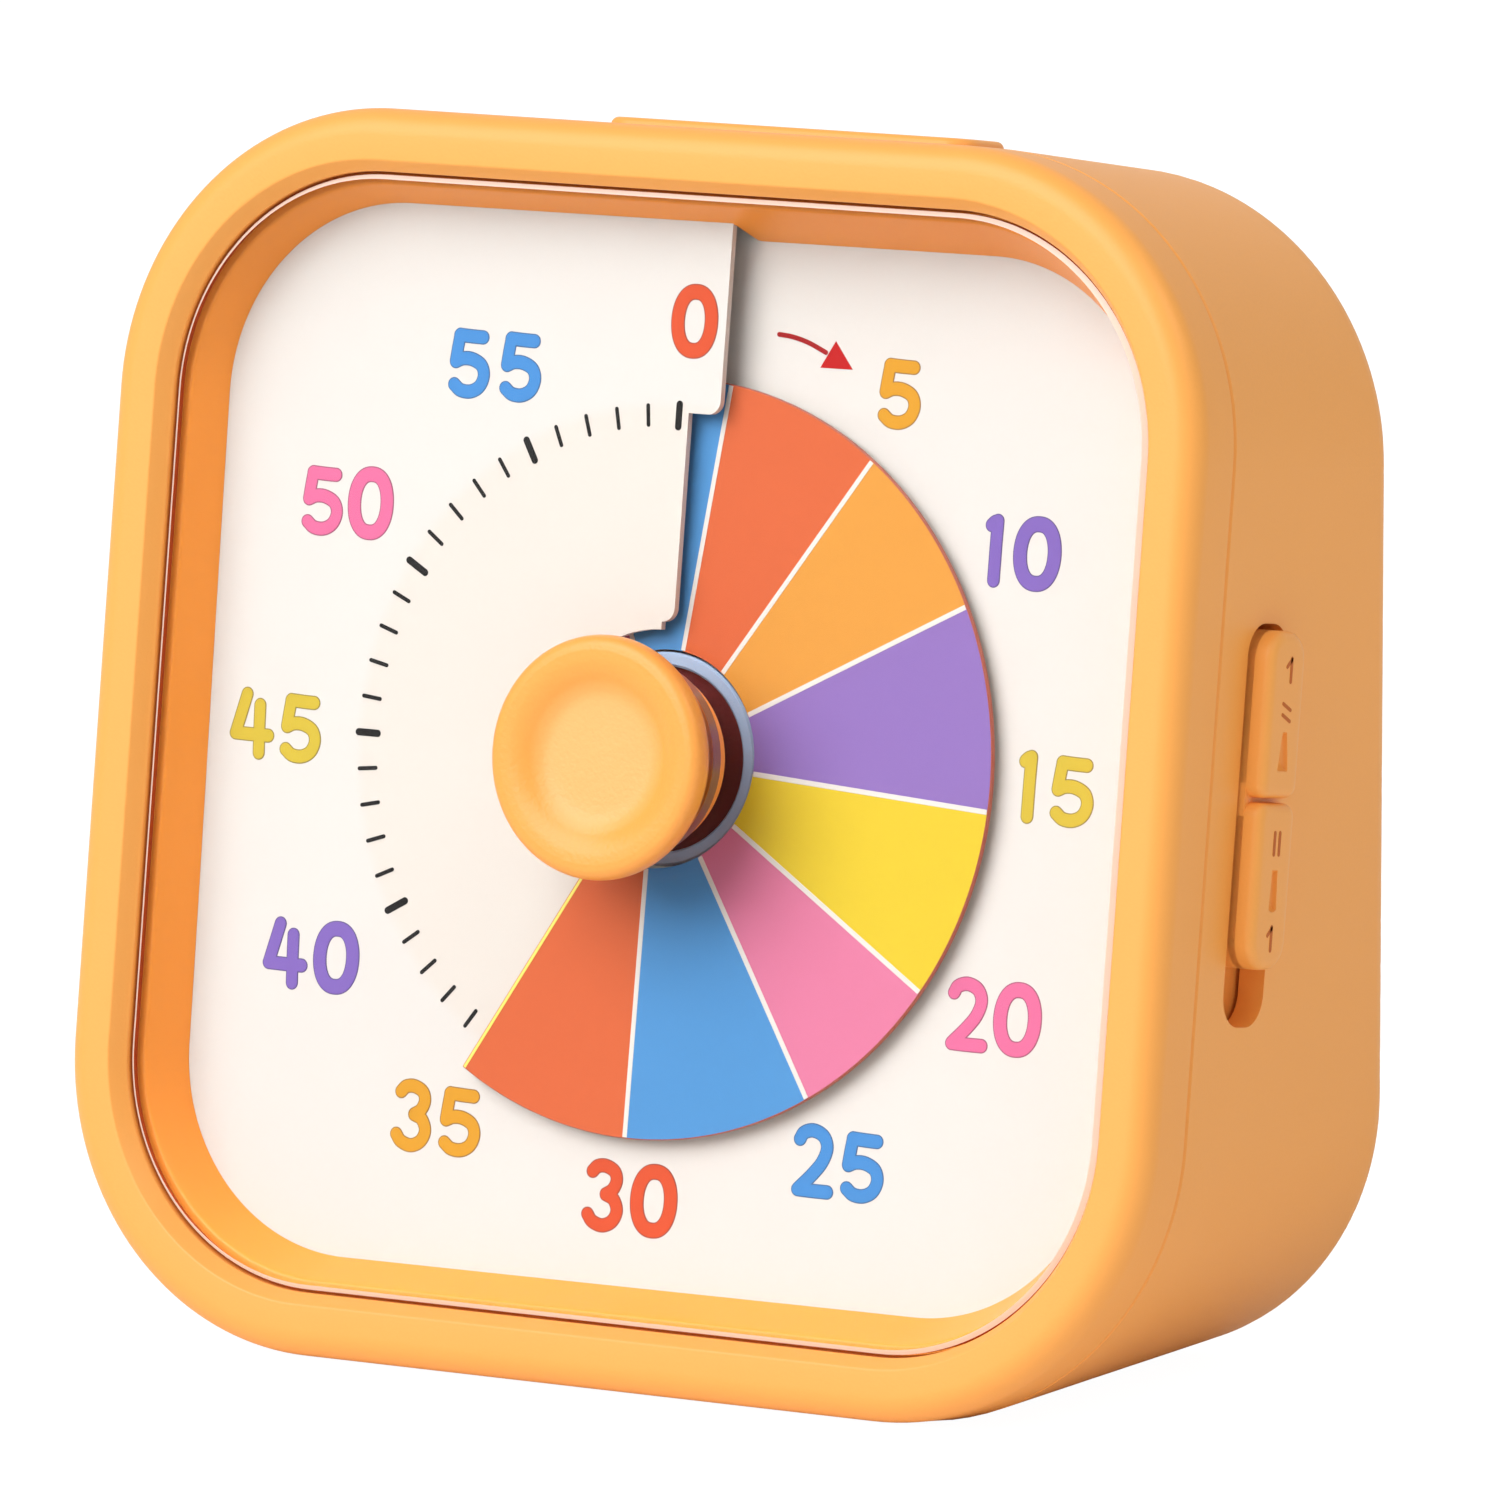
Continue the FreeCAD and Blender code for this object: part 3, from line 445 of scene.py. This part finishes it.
BLACK = plastic("movement_black", linear(24, 24, 26), 0.2, 0.5, 5000.0, 0.00001)
BOARD = plastic("board_green", linear(26, 88, 46), 0.15, 0.3, 2500.0, 0.000004)
CHIP = plastic("chip_resin", linear(12, 12, 12), 0.2, 0.15, 1500.0, 0.000004)
MAGNET = plastic("sintered_magnet", linear(60, 60, 64), 0.2, 0.45, 5000.0, 0.000006, Metallic=0.8)
CELL = plastic("cell_sleeve", linear(52, 56, 66), 0.05, 0.3, 2000.0, 0.000003)
TICK_BLACK = plastic("tick_ink", linear(14, 12, 12), 0.1, 0.7, 6000.0, 0.000002, Specular_IOR_Level=0.25)
LINE_WHITE = plastic(
    "divider_ink", linear(205, 201, 194), 0.02, 0.7, 6000.0, 0.000002, Specular_IOR_Level=0.25,
)
# Pale yellow strip along the disc's leading edge: painted highlight where the edge catches the light.
EDGE_HIGHLIGHT_YELLOW = plastic(
    "leading_edge_painted_highlight", linear(222, 208, 100), 0.02, 0.7, 6000.0, 0.000002, Specular_IOR_Level=0.25,
)
DISC_EDGE = plastic("disc_rim", linear(170, 90, 70), 0.05, 0.45, 6000.0, 0.000002)
DISC_BACK = plastic("disc_back", linear(240, 238, 232), 0.03, 0.45, 6000.0, 0.000002)

SECTOR_INK = {
    name: plastic("sector_" + name, linear(*rgb), 0.04, 0.7, 9000.0, 0.000003, Specular_IOR_Level=0.25)
    for name, rgb in (
        ("red", (191, 88, 47)),
        ("orange", (199, 135, 52)),
        ("purple", (126, 98, 163)),
        ("yellow", (201, 174, 36)),
        ("pink", (197, 108, 140)),
        ("blue", (68, 129, 183)),
    )
}
NUMBER_INK = {
    name: (
        plastic("number_" + name, linear(*rgb), 0.03, 0.7, 6000.0, 0.000002, Specular_IOR_Level=0.25),
        plastic(
            "number_rim_" + name,
            linear(*[round(0.72 * value) for value in rgb]), 0.03, 0.45, 6000.0, 0.000002,
        ),
    )
    for name, rgb in (
        ("red", (193, 71, 35)),
        ("amber", (196, 138, 29)),
        ("purple", (113, 88, 164)),
        ("yellow", (186, 163, 48)),
        ("pink", (201, 96, 138)),
        ("blue", (60, 124, 186)),
    )
}
ARROW_SHAFT = plastic(
    "arrow_shaft_ink", linear(145, 8, 12), 0.05, 0.7, 6000.0, 0.000002, Specular_IOR_Level=0.25,
)
ARROW_HEAD = plastic(
    "arrow_head_ink", linear(170, 4, 4), 0.05, 0.7, 6000.0, 0.000002, Specular_IOR_Level=0.25,
)


# Bezel
def bezel_shell():
    """Ring whose section is a round outer edge, a flat face, a bevel into the window and a tongue behind."""
    edge = arc((1.8, 1.8), 1.8, 180, 270, 14)
    lip = arc((3.25, 0.22), 0.22, 270, 315, 5)
    foot = smooth_line([(3.95, 1.0), (4.05, 1.16), (4.05, 1.3)], 3)
    profile = [(0.2, PARTING), (0.0, PARTING - 0.2), *edge.tolist(), *lip.tolist(), *foot.tolist()]
    profile += [(4.05, 2.45), (2.45, 2.45), (2.45, 6.5), (1.9, 6.5), (1.9, PARTING)]
    points = ring_sweep(profile, FACE_HALF, FACE_CORNER)
    rows, cols = points.shape[:2]
    faces = lattice(rows, cols, True, True)
    parts = [(points, faces, 0, None)]
    return piece("bezel_shell", "case", parts, [ORANGE], ("front_bezel",), 40.0, True)


bezel_shell()


def sloping_frame():
    """Ring whose inner wall slopes down to the dial.

    Its foot follows the dial's climb, with a smoothstep at the slit.
    """
    half, corner, slope, back = 37.4, 16.3, 0.45, 9.2
    lip = arc((2.02, 2.73), 0.28, 270, 335, 6)
    rows = [(0.0, back), (0.0, 2.6), (0.15, 2.45), *lip.tolist()]
    loop = square_round(half, corner, 3.4, side_steps=160)
    ramp = np.clip((loop[:, 0] - SLIT_EDGE + 0.1) / 0.9, 0, 1)
    minutes = np.degrees(np.arctan2(loop[:, 0], loop[:, 1])) / 6.0
    low = DIAL_ZERO_DEPTH - PITCH * np.where(minutes < -0.01, minutes + MINUTES, minutes) / MINUTES
    near = (loop[:, 1] > 30) & (np.abs(loop[:, 0]) < 6) & (minutes >= -0.01)
    foot = low - np.where(near, PITCH * (1 - ramp**2 * (3 - 2 * ramp)), 0.0) - 0.02
    points = []
    for inset, depth in rows:
        ring = square_round(half, corner, inset, side_steps=160)
        points.append(np.stack([ring[:, 0], np.full(len(ring), depth), ring[:, 1]], -1))
    top_inset, top_depth = rows[-1]
    for share in np.linspace(0.1, 1, 8):
        depth = top_depth + share * (foot - top_depth)
        inset = top_inset + slope * (depth - top_depth)
        ring = square_round(half, corner, 0.0, side_steps=160)
        inner = square_round(half, corner, 1.0, side_steps=160)
        flat = ring + (inner - ring) * inset[:, None]
        points.append(np.stack([flat[:, 0], depth, flat[:, 1]], -1))
    ledge = square_round(half, corner, 1.6, side_steps=160)
    points.append(np.stack([ledge[:, 0], foot, ledge[:, 1]], -1))
    points.append(np.stack([ledge[:, 0], np.full(len(ledge), back), ledge[:, 1]], -1))
    points = np.stack(points)
    grid = lattice(*points.shape[:2], True, True)
    parts = [(points, grid, 0, None)]
    for x in (-29.8, 29.8):
        for z in (-29.8, 29.8):
            post = spun([(2.8, 8.0), (2.8, 14.0), (1.3, 14.0), (1.3, 8.0)], 36) + (x, 0.0, z)
            parts.append((post, lattice(4, 36, True, True), 0, None))
    return piece("sloping_frame", "case", parts, [ORANGE_FRAME_PAINTED_SHADE], ("dial_frame",), 40.0)


sloping_frame()


# Window
def window_sheet():
    """Sheet between a round hole and a round-cornered edge: lines join equal shares of the outlines."""

    def loop(share, inset, depth):
        outer = square_round(LENS_HALF, LENS_CORNER, inset)
        angle = np.arctan2(outer[:, 1], outer[:, 0])
        inner = LENS_HOLE * np.stack([np.cos(angle), np.sin(angle)], -1)
        flat = inner * (1 - share) + outer * share
        return np.stack([flat[:, 0], np.full(len(flat), depth), flat[:, 1]], -1)

    chamfer = 0.3
    front = [loop(share, chamfer, LENS_FRONT) for share in np.linspace(0, 1, 8)]
    edge = [loop(1, 0, LENS_FRONT + chamfer), loop(1, 0, LENS_BACK)]
    back = [loop(share, 0, LENS_BACK) for share in np.linspace(1, 0, 8)[1:]]
    points = np.stack(front + edge + back)
    rows, cols = points.shape[:2]
    faces = lattice(rows, cols, True, True)
    # Bands of the clear sheet: the chamfer carries a painted highlight, and the outer side and the hole's
    # wall carry painted refraction colours.
    band = np.zeros(rows, int)
    band[len(front) - 1] = 1
    band[len(front)] = 2
    band[-1] = 3
    look = np.repeat(band, cols)
    parts = [(points, faces, look, None)]
    materials = [LENS, LENS_EDGE_HIGHLIGHT, LENS_SIDE_REFRACTION, HOLE_SIDE_REFRACTION_SHADE]
    return piece("window_sheet", "case", parts, materials, ("clear_lens",), 20.0)


window_sheet()


# Disc
DIVIDERS = (90.1, 84.7, 80.5, 75.6, 70.4, 65.8, 61.2, 56.3, 51.4, 46.5, 41.6)
SECTORS = ("red", "blue", "pink", "yellow", "purple", "orange") * 2


def time_sectors():
    """Thin plate on a screw surface: a flat strip from hole to rim, carried round while its depth climbs."""
    inks = sorted(SECTOR_INK)
    minutes = np.unique(np.round(np.concatenate([np.linspace(DISC_FIRST, DISC_LAST, 600), DIVIDERS]), 4))
    flat = np.linspace(DISC_HOLE, DISC_RADIUS - 0.06, 6)
    radius = np.concatenate([flat, [DISC_RADIUS, DISC_RADIUS, DISC_HOLE]])
    behind = np.concatenate([np.zeros(6), [0.06, DISC_THICK, DISC_THICK]])
    x, z = clock(minutes[:, None])
    depth = disc_depth(minutes[:, None]) + behind
    points = np.stack([radius * x, depth, radius * z], -1)
    rows, cols = points.shape[:2]
    middle = (minutes[:-1] + minutes[1:]) / 2
    which = np.searchsorted(-np.array(DIVIDERS), -middle)
    number = np.array([inks.index(name) for name in SECTORS])[which]
    strip = np.array([0, 0, 0, 0, 0, 1, 1, 2, 2])
    look = np.where(strip[None, :] == 0, number[:, None], len(inks) + strip[None, :] - 1).ravel()
    faces = [tuple(q) for q in lattice(rows, cols, wrap_cols=True)]
    faces += [tuple(range(cols))[::-1], tuple(range((rows - 1) * cols, rows * cols))]
    look = np.concatenate([look, [len(inks), len(inks)]])
    materials = [SECTOR_INK[name] for name in inks] + [DISC_EDGE, DISC_BACK]
    parts = [(points, faces, look, None)]
    return piece("time_sectors", "disc", parts, materials, ("time_disc",), 30.0)


def disc_line(minutes, half_width, shift=0.0):
    """Straight radial strip on the disc at a dial minute, set over sideways by a shift."""
    x, z = clock(minutes)
    reach = np.linspace(DISC_HOLE + 0.05, DISC_RADIUS - 0.08, 12)
    along = np.stack([reach * x, reach * z], -1)
    side = np.array([z, -x])
    across = np.array([-1.0, -0.9, 0.9, 1.0])
    height = np.array([-0.01, INK, INK, -0.01])
    flat = along[:, None, :] + side * (shift + half_width * across)[None, :, None]
    turn = minutes + np.degrees((shift + half_width * across)[None, :] / reach[:, None]) / 6.0
    depth = disc_depth(turn) - height
    points = np.stack([flat[..., 0], depth, flat[..., 1]], -1)
    faces = [tuple(q) for q in lattice(12, 4, wrap_cols=True)] + [(3, 2, 1, 0), (44, 45, 46, 47)]
    return points, faces


time_sectors()
lines = [(*disc_line(minutes, 0.17), 0, None) for minutes in DIVIDERS]
# The last strip is the painted highlight on the disc's leading edge.
lines.append((*disc_line(DISC_LAST, 0.1, -0.14), 1, None))
piece("sector_dividers_and_edge_highlight", "disc", lines, [LINE_WHITE, EDGE_HIGHLIGHT_YELLOW])


# Dial print
def tick_marks():
    """Sixty short round-ended strokes on one circle, longer and bolder at each fifth minute."""
    parts = []
    for minute in range(1, 61):
        fifth = minute % 5 == 0
        half = 0.95 if fifth else 0.75
        pen = 0.24 if fifth else 0.135
        x, z = clock(minute)
        reach = np.linspace(TICK_RADIUS - half + pen, TICK_RADIUS + half - pen, 4)
        line = np.stack([reach * x, reach * z], -1)
        level = float(DIAL_ZERO_DEPTH - PITCH * minute / MINUTES)
        parts.append((*stroke(line, pen, INK, depth=lambda x, z: np.full_like(x, level)), 0, None))
    return piece("tick_marks", "case", parts, [TICK_BLACK])


def zero_loop():
    """Tall rounded ring: a sine across and a cosine up, each to a power just below one, with its sign."""
    turn = np.linspace(0, 2 * math.pi, 72, endpoint=False)
    across, up = np.sin(turn), np.cos(turn)
    x = 1.24 * np.sign(across) * np.abs(across) ** 0.85
    z = 1.87 * np.sign(up) * np.abs(up) ** 0.95
    return np.stack([x, z], -1)


DIGITS = {
    "1": [
        [(0.02, 1.86), (0.0, 0.6), (0.0, -0.6), (0.0, -1.86)],
        [(0.0, 1.84), (-0.2, 1.78), (-0.4, 1.6)],
    ],
    "2": [
        [
            (-0.98, 1.35), (-0.72, 1.76), (-0.05, 1.95), (0.7, 1.65),
            (1.02, 0.95), (0.75, 0.05), (0.1, -0.8), (-0.9, -1.82),
        ],
        [(-0.9, -1.84), (0.2, -1.86), (1.22, -1.86)],
    ],
    "3": [
        [(-0.8, 1.52), (-0.45, 1.85), (0.15, 1.92), (0.8, 1.62), (1.0, 1.05), (0.75, 0.45), (0.28, 0.12)],
        [
            (0.28, 0.12), (0.85, -0.15), (1.15, -0.85), (0.85, -1.55),
            (0.15, -1.88), (-0.6, -1.68), (-0.98, -1.25),
        ],
    ],
    "4": [
        [(-0.45, 1.85), (-0.8, 0.6), (-1.16, -0.68)],
        [(-1.16, -0.7), (0.1, -0.72), (1.32, -0.72)],
        [(0.58, 1.2), (0.62, -0.4), (0.68, -1.86)],
    ],
    "5": [
        [(0.95, 1.64), (0.1, 1.66), (-0.78, 1.7)],
        [(-0.78, 1.7), (-0.9, 0.85), (-1.0, 0.02)],
        [
            (-0.98, 0.0), (-0.45, 0.22), (0.25, 0.2), (0.95, -0.15), (1.18, -0.8),
            (0.9, -1.5), (0.25, -1.86), (-0.5, -1.82), (-1.0, -1.48),
        ],
    ],
}
NUMERALS = (
    ("00", "red", (("0", 0.67, 27.82),)),
    ("05", "amber", (("5", 14.79, 24.26),)),
    ("10", "purple", (("1", 22.65, 14.84), ("0", 25.67, 14.84))),
    ("15", "yellow", (("1", 26.39, 0.28), ("5", 29.45, 0.28))),
    ("20", "pink", (("2", 23.17, -14.32), ("0", 26.85, -14.32))),
    ("25", "blue", (("2", 12.89, -24.47), ("5", 16.51, -24.47))),
    ("30", "red", (("3", -2.21, -28.04), ("0", 1.60, -28.04))),
    ("35", "amber", (("3", -16.78, -24.24), ("5", -13.13, -24.24))),
    ("40", "purple", (("4", -27.04, -14.62), ("0", -23.13, -14.62))),
    ("45", "yellow", (("4", -30.68, -0.06), ("5", -26.97, -0.06))),
    ("50", "pink", (("5", -26.41, 14.68), ("0", -22.70, 14.68))),
    ("55", "blue", (("5", -15.98, 24.18), ("5", -12.11, 24.18))),
)


def numeral(label, ink, digits):
    """Digits drawn with a round pen, once in a darker rim colour and once a hair narrower on top."""
    parts = []
    for digit, x, z in digits:
        closed = digit == "0"
        lines = [zero_loop()] if closed else [smooth_line(knots) for knots in DIGITS[digit]]
        pen = 0.52 if closed else 0.47
        for line in lines:
            line = line + np.array([x, z])
            parts.append((*stroke(line, pen, INK, closed), 1, None))
            parts.append((*stroke(line, pen - 0.07, 1.6 * INK, closed), 0, None))
    return piece("numeral_" + label, "case", parts, list(NUMBER_INK[ink]))


def direction_arrow():
    """Curved shaft and a three-cornered head that show which way the disc is set."""
    shaft = smooth_line([(5.68, 27.38), (6.7, 27.28), (7.9, 26.98), (9.2, 26.45)], 8)
    corners = np.array([(11.28, 25.48), (9.88, 27.23), (8.85, 25.46)])
    middle = corners.mean(0)
    share = np.array([1.0, 0.98, 0.0])[:, None, None]
    flat = middle + (corners - middle) * share
    lift = np.array([-0.01, INK, INK])[:, None]
    deep = dial_depth(flat[..., 0], flat[..., 1]) - lift
    head = np.stack([flat[..., 0], deep, flat[..., 1]], -1)
    faces = [tuple(q) for q in lattice(3, 3, wrap_cols=True)] + [(0, 1, 2)]
    parts = [(*stroke(shaft, 0.16, INK), 0, None), (head, faces, 1, None)]
    return piece("direction_arrow", "case", parts, [ARROW_SHAFT, ARROW_HEAD])


tick_marks()
for label, ink, digits in NUMERALS:
    numeral(label, ink, digits)
direction_arrow()


# Knob
def turning_knob():
    """Spun cap with a shallow dish, a rolled rim and a narrower skirt that passes through the window."""
    dish = smooth_line(
        [(0.0, 1.05), (2.0, 1.05), (3.7, 1.0), (4.6, 0.72), (5.4, 0.3), (6.1, 0.06), (6.8, 0.0)], 8
    )
    rim = smooth_line(
        [(6.8, 0.0), (7.25, 0.1), (7.6, 0.4), (7.75, 0.9), (7.7, 1.4), (7.45, 1.85), (7.0, 2.1)], 6
    )
    neck = np.array([(6.4, 2.18), (6.05, 2.22), (5.85, 2.35), (5.8, 2.5)])
    skirt = np.array([(5.8, 3.75), (5.65, 3.9)])
    cap = np.concatenate([dish[1:], rim[1:], neck]) + (0.0, KNOB_FRONT)
    profile = np.concatenate([cap, skirt])
    points = spun(profile)
    rows, cols = points.shape[:2]
    faces = [tuple(q) for q in lattice(rows, cols, wrap_cols=True)]
    centre = len(points.reshape(-1, 3))
    ring = np.arange(cols)
    faces += [(centre, int((c + 1) % cols), int(c)) for c in ring]
    base = (rows - 1) * cols
    faces += [(centre + 1, int(base + c), int(base + (c + 1) % cols)) for c in ring]
    points = np.concatenate([points.reshape(-1, 3), [(0, KNOB_FRONT + 1.05, 0), (0, 3.9, 0)]])
    parts = [(points, faces, 0, None)]
    return piece("turning_knob", "knob_group", parts, [KNOB_ORANGE], ("knob",), 40.0)


turning_knob()


# Slider
def outline(low, high, low_corner, high_corner, inset):
    """Upright rounded oblong about the slider's middle: quarter circles moved in by an inset."""
    points = []
    top, bottom = high - high_corner, low + low_corner
    for side, level, corner, start in (
        (1, top, high_corner, 0),
        (-1, top, high_corner, 90),
        (-1, bottom, low_corner, 180),
        (1, bottom, low_corner, 270),
    ):
        centre = (side * (SLIDER_HALF - corner), level)
        points.append(arc(centre, corner - inset, start, start + 90, 14))
    return np.concatenate(points)


def layer(flat, x):
    """Loop of (across, up) points as points at one distance out on the side wall."""
    return np.stack([np.full(len(flat), x), SLIDER_MIDDLE + flat[:, 0], flat[:, 1]], -1)


def slider_cap():
    """Two rounded pads on one trunk, with an oval dimple in each.

    Loops shrink from the pad's outline to the dimple's ellipse, then down its bowl.
    """
    parts = []
    for low, high, low_corner, high_corner, middle in (
        (0.75, 11.2, 0.9, 1.9, 3.6),
        (-10.0, 0.45, 1.9, 0.9, -5.0),
    ):
        edge = ((0.0, 39.9), (0.0, 41.0), (0.06, 41.26), (0.22, 41.46), (0.45, 41.57), (0.7, SLIDER_FACE))
        rows = [layer(outline(low, high, low_corner, high_corner, inset), x) for inset, x in edge]
        rim = outline(low, high, low_corner, high_corner, 0.7)
        turn = np.arctan2(rim[:, 1] - middle, rim[:, 0])
        oval = np.stack([1.05 * np.cos(turn), 1.35 * np.sin(turn)], -1)
        centre = np.array([0.0, middle])
        rows += [layer(rim + (oval + centre - rim) * share, SLIDER_FACE) for share in (0.3, 0.65, 1.0)]
        bowl = ((0.93, 0.22), (0.65, 0.42), (0.25, 0.5))
        rows += [layer(oval * size + centre, SLIDER_FACE - sunk) for size, sunk in bowl]
        points = np.stack(rows)
        count, cols = points.shape[:2]
        faces = [tuple(q) for q in lattice(count, cols, wrap_cols=True)]
        faces += [tuple(range(cols))[::-1], tuple(range((count - 1) * cols, count * cols))]
        parts.append((points, faces, 0, None))
    trunk = outline(-10.0, 11.2, 1.9, 1.9, 0.0)
    near_y, far_y = SHIELD_Y
    plate = np.array([(near_y, -14.2), (far_y, -14.2), (far_y, 12.0), (near_y, 12.0)])
    plate = plate - (SLIDER_MIDDLE, 0)
    for flat, near, far in ((trunk, 37.6, 40.35), (plate, 36.7, 37.9)):
        points = np.stack([layer(flat, near), layer(flat, far)])
        cols = len(flat)
        faces = [tuple(q) for q in lattice(2, cols, wrap_cols=True)]
        faces += [tuple(range(cols))[::-1], tuple(range(cols, 2 * cols))]
        parts.append((points, faces, 0, None))
    return piece("slider_cap", "slider", parts, [ORANGE], ("side_slider",), 40.0)


def slider_marks():
    """Small generic strokes on the slider's outer face: flagged bars and pairs of short bars. Their darker
    orange is painted shade for engraved grooves.
    """
    strokes = (
        ([(0.25, 9.5), (0.25, 8.1)], 0.16),
        ([(0.25, 9.45), (-0.3, 9.0)], 0.13),
        ([(-0.5, 6.7), (0.5, 6.3)], 0.12),
        ([(-0.5, 6.0), (0.5, 5.6)], 0.12),
        ([(-0.32, -1.4), (-0.32, -2.7)], 0.16),
        ([(0.32, -1.4), (0.32, -2.7)], 0.16),
        ([(0.1, -7.3), (0.1, -8.7)], 0.16),
        ([(0.1, -7.35), (-0.4, -7.8)], 0.13),
    )
    parts = []
    for line, pen in strokes:
        points, faces = stroke(line, pen, INK, depth=lambda x, z: 0 * x)
        across, deep, up = np.moveaxis(points, -1, 0)
        side = np.stack([SLIDER_FACE - deep, SLIDER_MIDDLE + across, up], -1)
        parts.append((side, faces, 0, None))
    return piece("slider_marks", "slider", parts, [GROOVE_SHADE_ORANGE])


slider_cap()
slider_marks()


# Finishes of the nodes that keep their own shape
FINISHES = {
    ORANGE: ("rear_housing", "top_key", "battery_door"),
    DIAL_WHITE: ("dial_plate",),
    GREY: ("hub_ring",),
    FELT_PAINTED_SHADE: ("hub_felt",),
    STEEL: (
        "spindle",
        "clutch_washer",
        "stator_plate",
        "alarm_contact",
        "battery_contact_plus",
        "battery_contact_minus",
    ),
    ZINC: ("movement_screws", "board_screws", "case_screws", "quartz_crystal"),
    BRASS: ("drive_wheel", "buzzer_disc"),
    COPPER: ("coil_winding",),
    ACETAL: (
        "alarm_cam",
        "third_wheel",
        "fourth_wheel",
        "rotor_pinion",
        "coil_bobbin",
        "carrier_plate",
        "switch_lever",
    ),
    BLACK: ("movement_plate", "movement_case", "switch_body", "push_switch", "buzzer"),
    BOARD: ("circuit_board", "key_board"),
    CHIP: ("timer_chip",),
    MAGNET: ("rotor_magnet",),
    CELL: ("battery_cell",),
}
for material, names in FINISHES.items():
    for name in names:
        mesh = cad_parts[name].data
        mesh.materials.clear()
        mesh.materials.append(material)


# Stage, lamps and camera
LAMP_AIM = Vector((0.0, 0.0, 0.04))


def white_floor():
    """Matt white paint that the camera sees mostly as evenly lit, with a faint shadow left under the part."""
    material = plastic("floor_white", (0.9, 0.9, 0.9, 1.0), 0.01, 0.9, 300.0, 0.00001)
    nodes, links = material.node_tree.nodes, material.node_tree.links
    glow = nodes.new("ShaderNodeEmission")
    glow.inputs["Strength"].default_value = 1.15
    path = nodes.new("ShaderNodeLightPath")
    share = nodes.new("ShaderNodeMath")
    share.operation = "MULTIPLY"
    links.new(path.outputs["Is Camera Ray"], share.inputs[0])
    share.inputs[1].default_value = 0.85
    either = nodes.new("ShaderNodeMixShader")
    links.new(share.outputs[0], either.inputs[0])
    links.new(nodes["Principled BSDF"].outputs[0], either.inputs[1])
    links.new(glow.outputs[0], either.inputs[2])
    links.new(either.outputs[0], nodes["Material Output"].inputs["Surface"])
    return material


def floor():
    """Plain pale floor that rises behind the part in a quarter circle."""
    radius, near, far, half = 0.5, -1.5, 1.2, 2.5
    bend = arc((far, radius), radius, -90, 0, 24)
    section = np.concatenate([[(near, 0.0)], bend, [(far + radius, 3.0)]])
    across = np.array([-half, half])
    y = np.repeat(section[:, 0], 2)
    z = np.repeat(section[:, 1], 2)
    points = np.stack([np.tile(across, len(section)), y, z], -1)
    mesh = bpy.data.meshes.new("floor")
    mesh.from_pydata(points.tolist(), [], lattice(len(section), 2).tolist())
    mesh.materials.append(white_floor())
    mesh.shade_smooth()
    made = bpy.data.objects.new("floor", mesh)
    bpy.context.scene.collection.objects.link(made)


def lamp(name, direction, distance, size, watts):
    """Square area lamp at a distance in one direction, turned to face the part."""
    light = bpy.data.lights.new(name, "AREA")
    light.shape = "SQUARE"
    light.size = size
    light.energy = watts
    made = bpy.data.objects.new(name, light)
    towards = Vector(direction).normalized()
    made.location = LAMP_AIM + towards * distance
    made.rotation_euler = towards.to_track_quat("Z", "Y").to_euler()
    bpy.context.scene.collection.objects.link(made)


floor()
lamp("key", (-0.42, -1.0, 0.85), 2.2, 2.0, 45.0)
lamp("side", (1.0, -0.25, 1.1), 1.2, 0.35, 1.2)

world = bpy.data.worlds.new("studio")
world.use_nodes = True
world.node_tree.nodes["Background"].inputs["Color"].default_value = (1.0, 0.99, 0.98, 1.0)
world.node_tree.nodes["Background"].inputs["Strength"].default_value = 0.44
bpy.context.scene.world = world
bpy.context.scene.view_settings.view_transform = "Standard"
bpy.context.scene.view_settings.look = "None"


def camera():
    """Long lens at the photograph's angle: right, up and back vectors from its azimuth and elevation."""
    azimuth, elevation = math.radians(30.817), math.radians(8.613)
    distance, target = 0.93894, Vector((0.002738, 0.0, 0.039246))
    back = Vector((
        math.sin(azimuth) * math.cos(elevation),
        -math.cos(azimuth) * math.cos(elevation),
        math.sin(elevation),
    ))
    right = Vector((math.cos(azimuth), math.sin(azimuth), 0.0))
    up = back.cross(right)
    lens = bpy.data.cameras.new("camera")
    lens.sensor_fit = "VERTICAL"
    lens.sensor_height = 36.0
    lens.lens = 353.817
    lens.clip_start = 0.05
    lens.clip_end = 50.0
    made = bpy.data.objects.new("camera", lens)
    turn = Matrix((right, up, back)).transposed()
    made.matrix_world = Matrix.Translation(target + back * distance) @ turn.to_4x4()
    bpy.context.scene.collection.objects.link(made)
    bpy.context.scene.camera = made


camera()
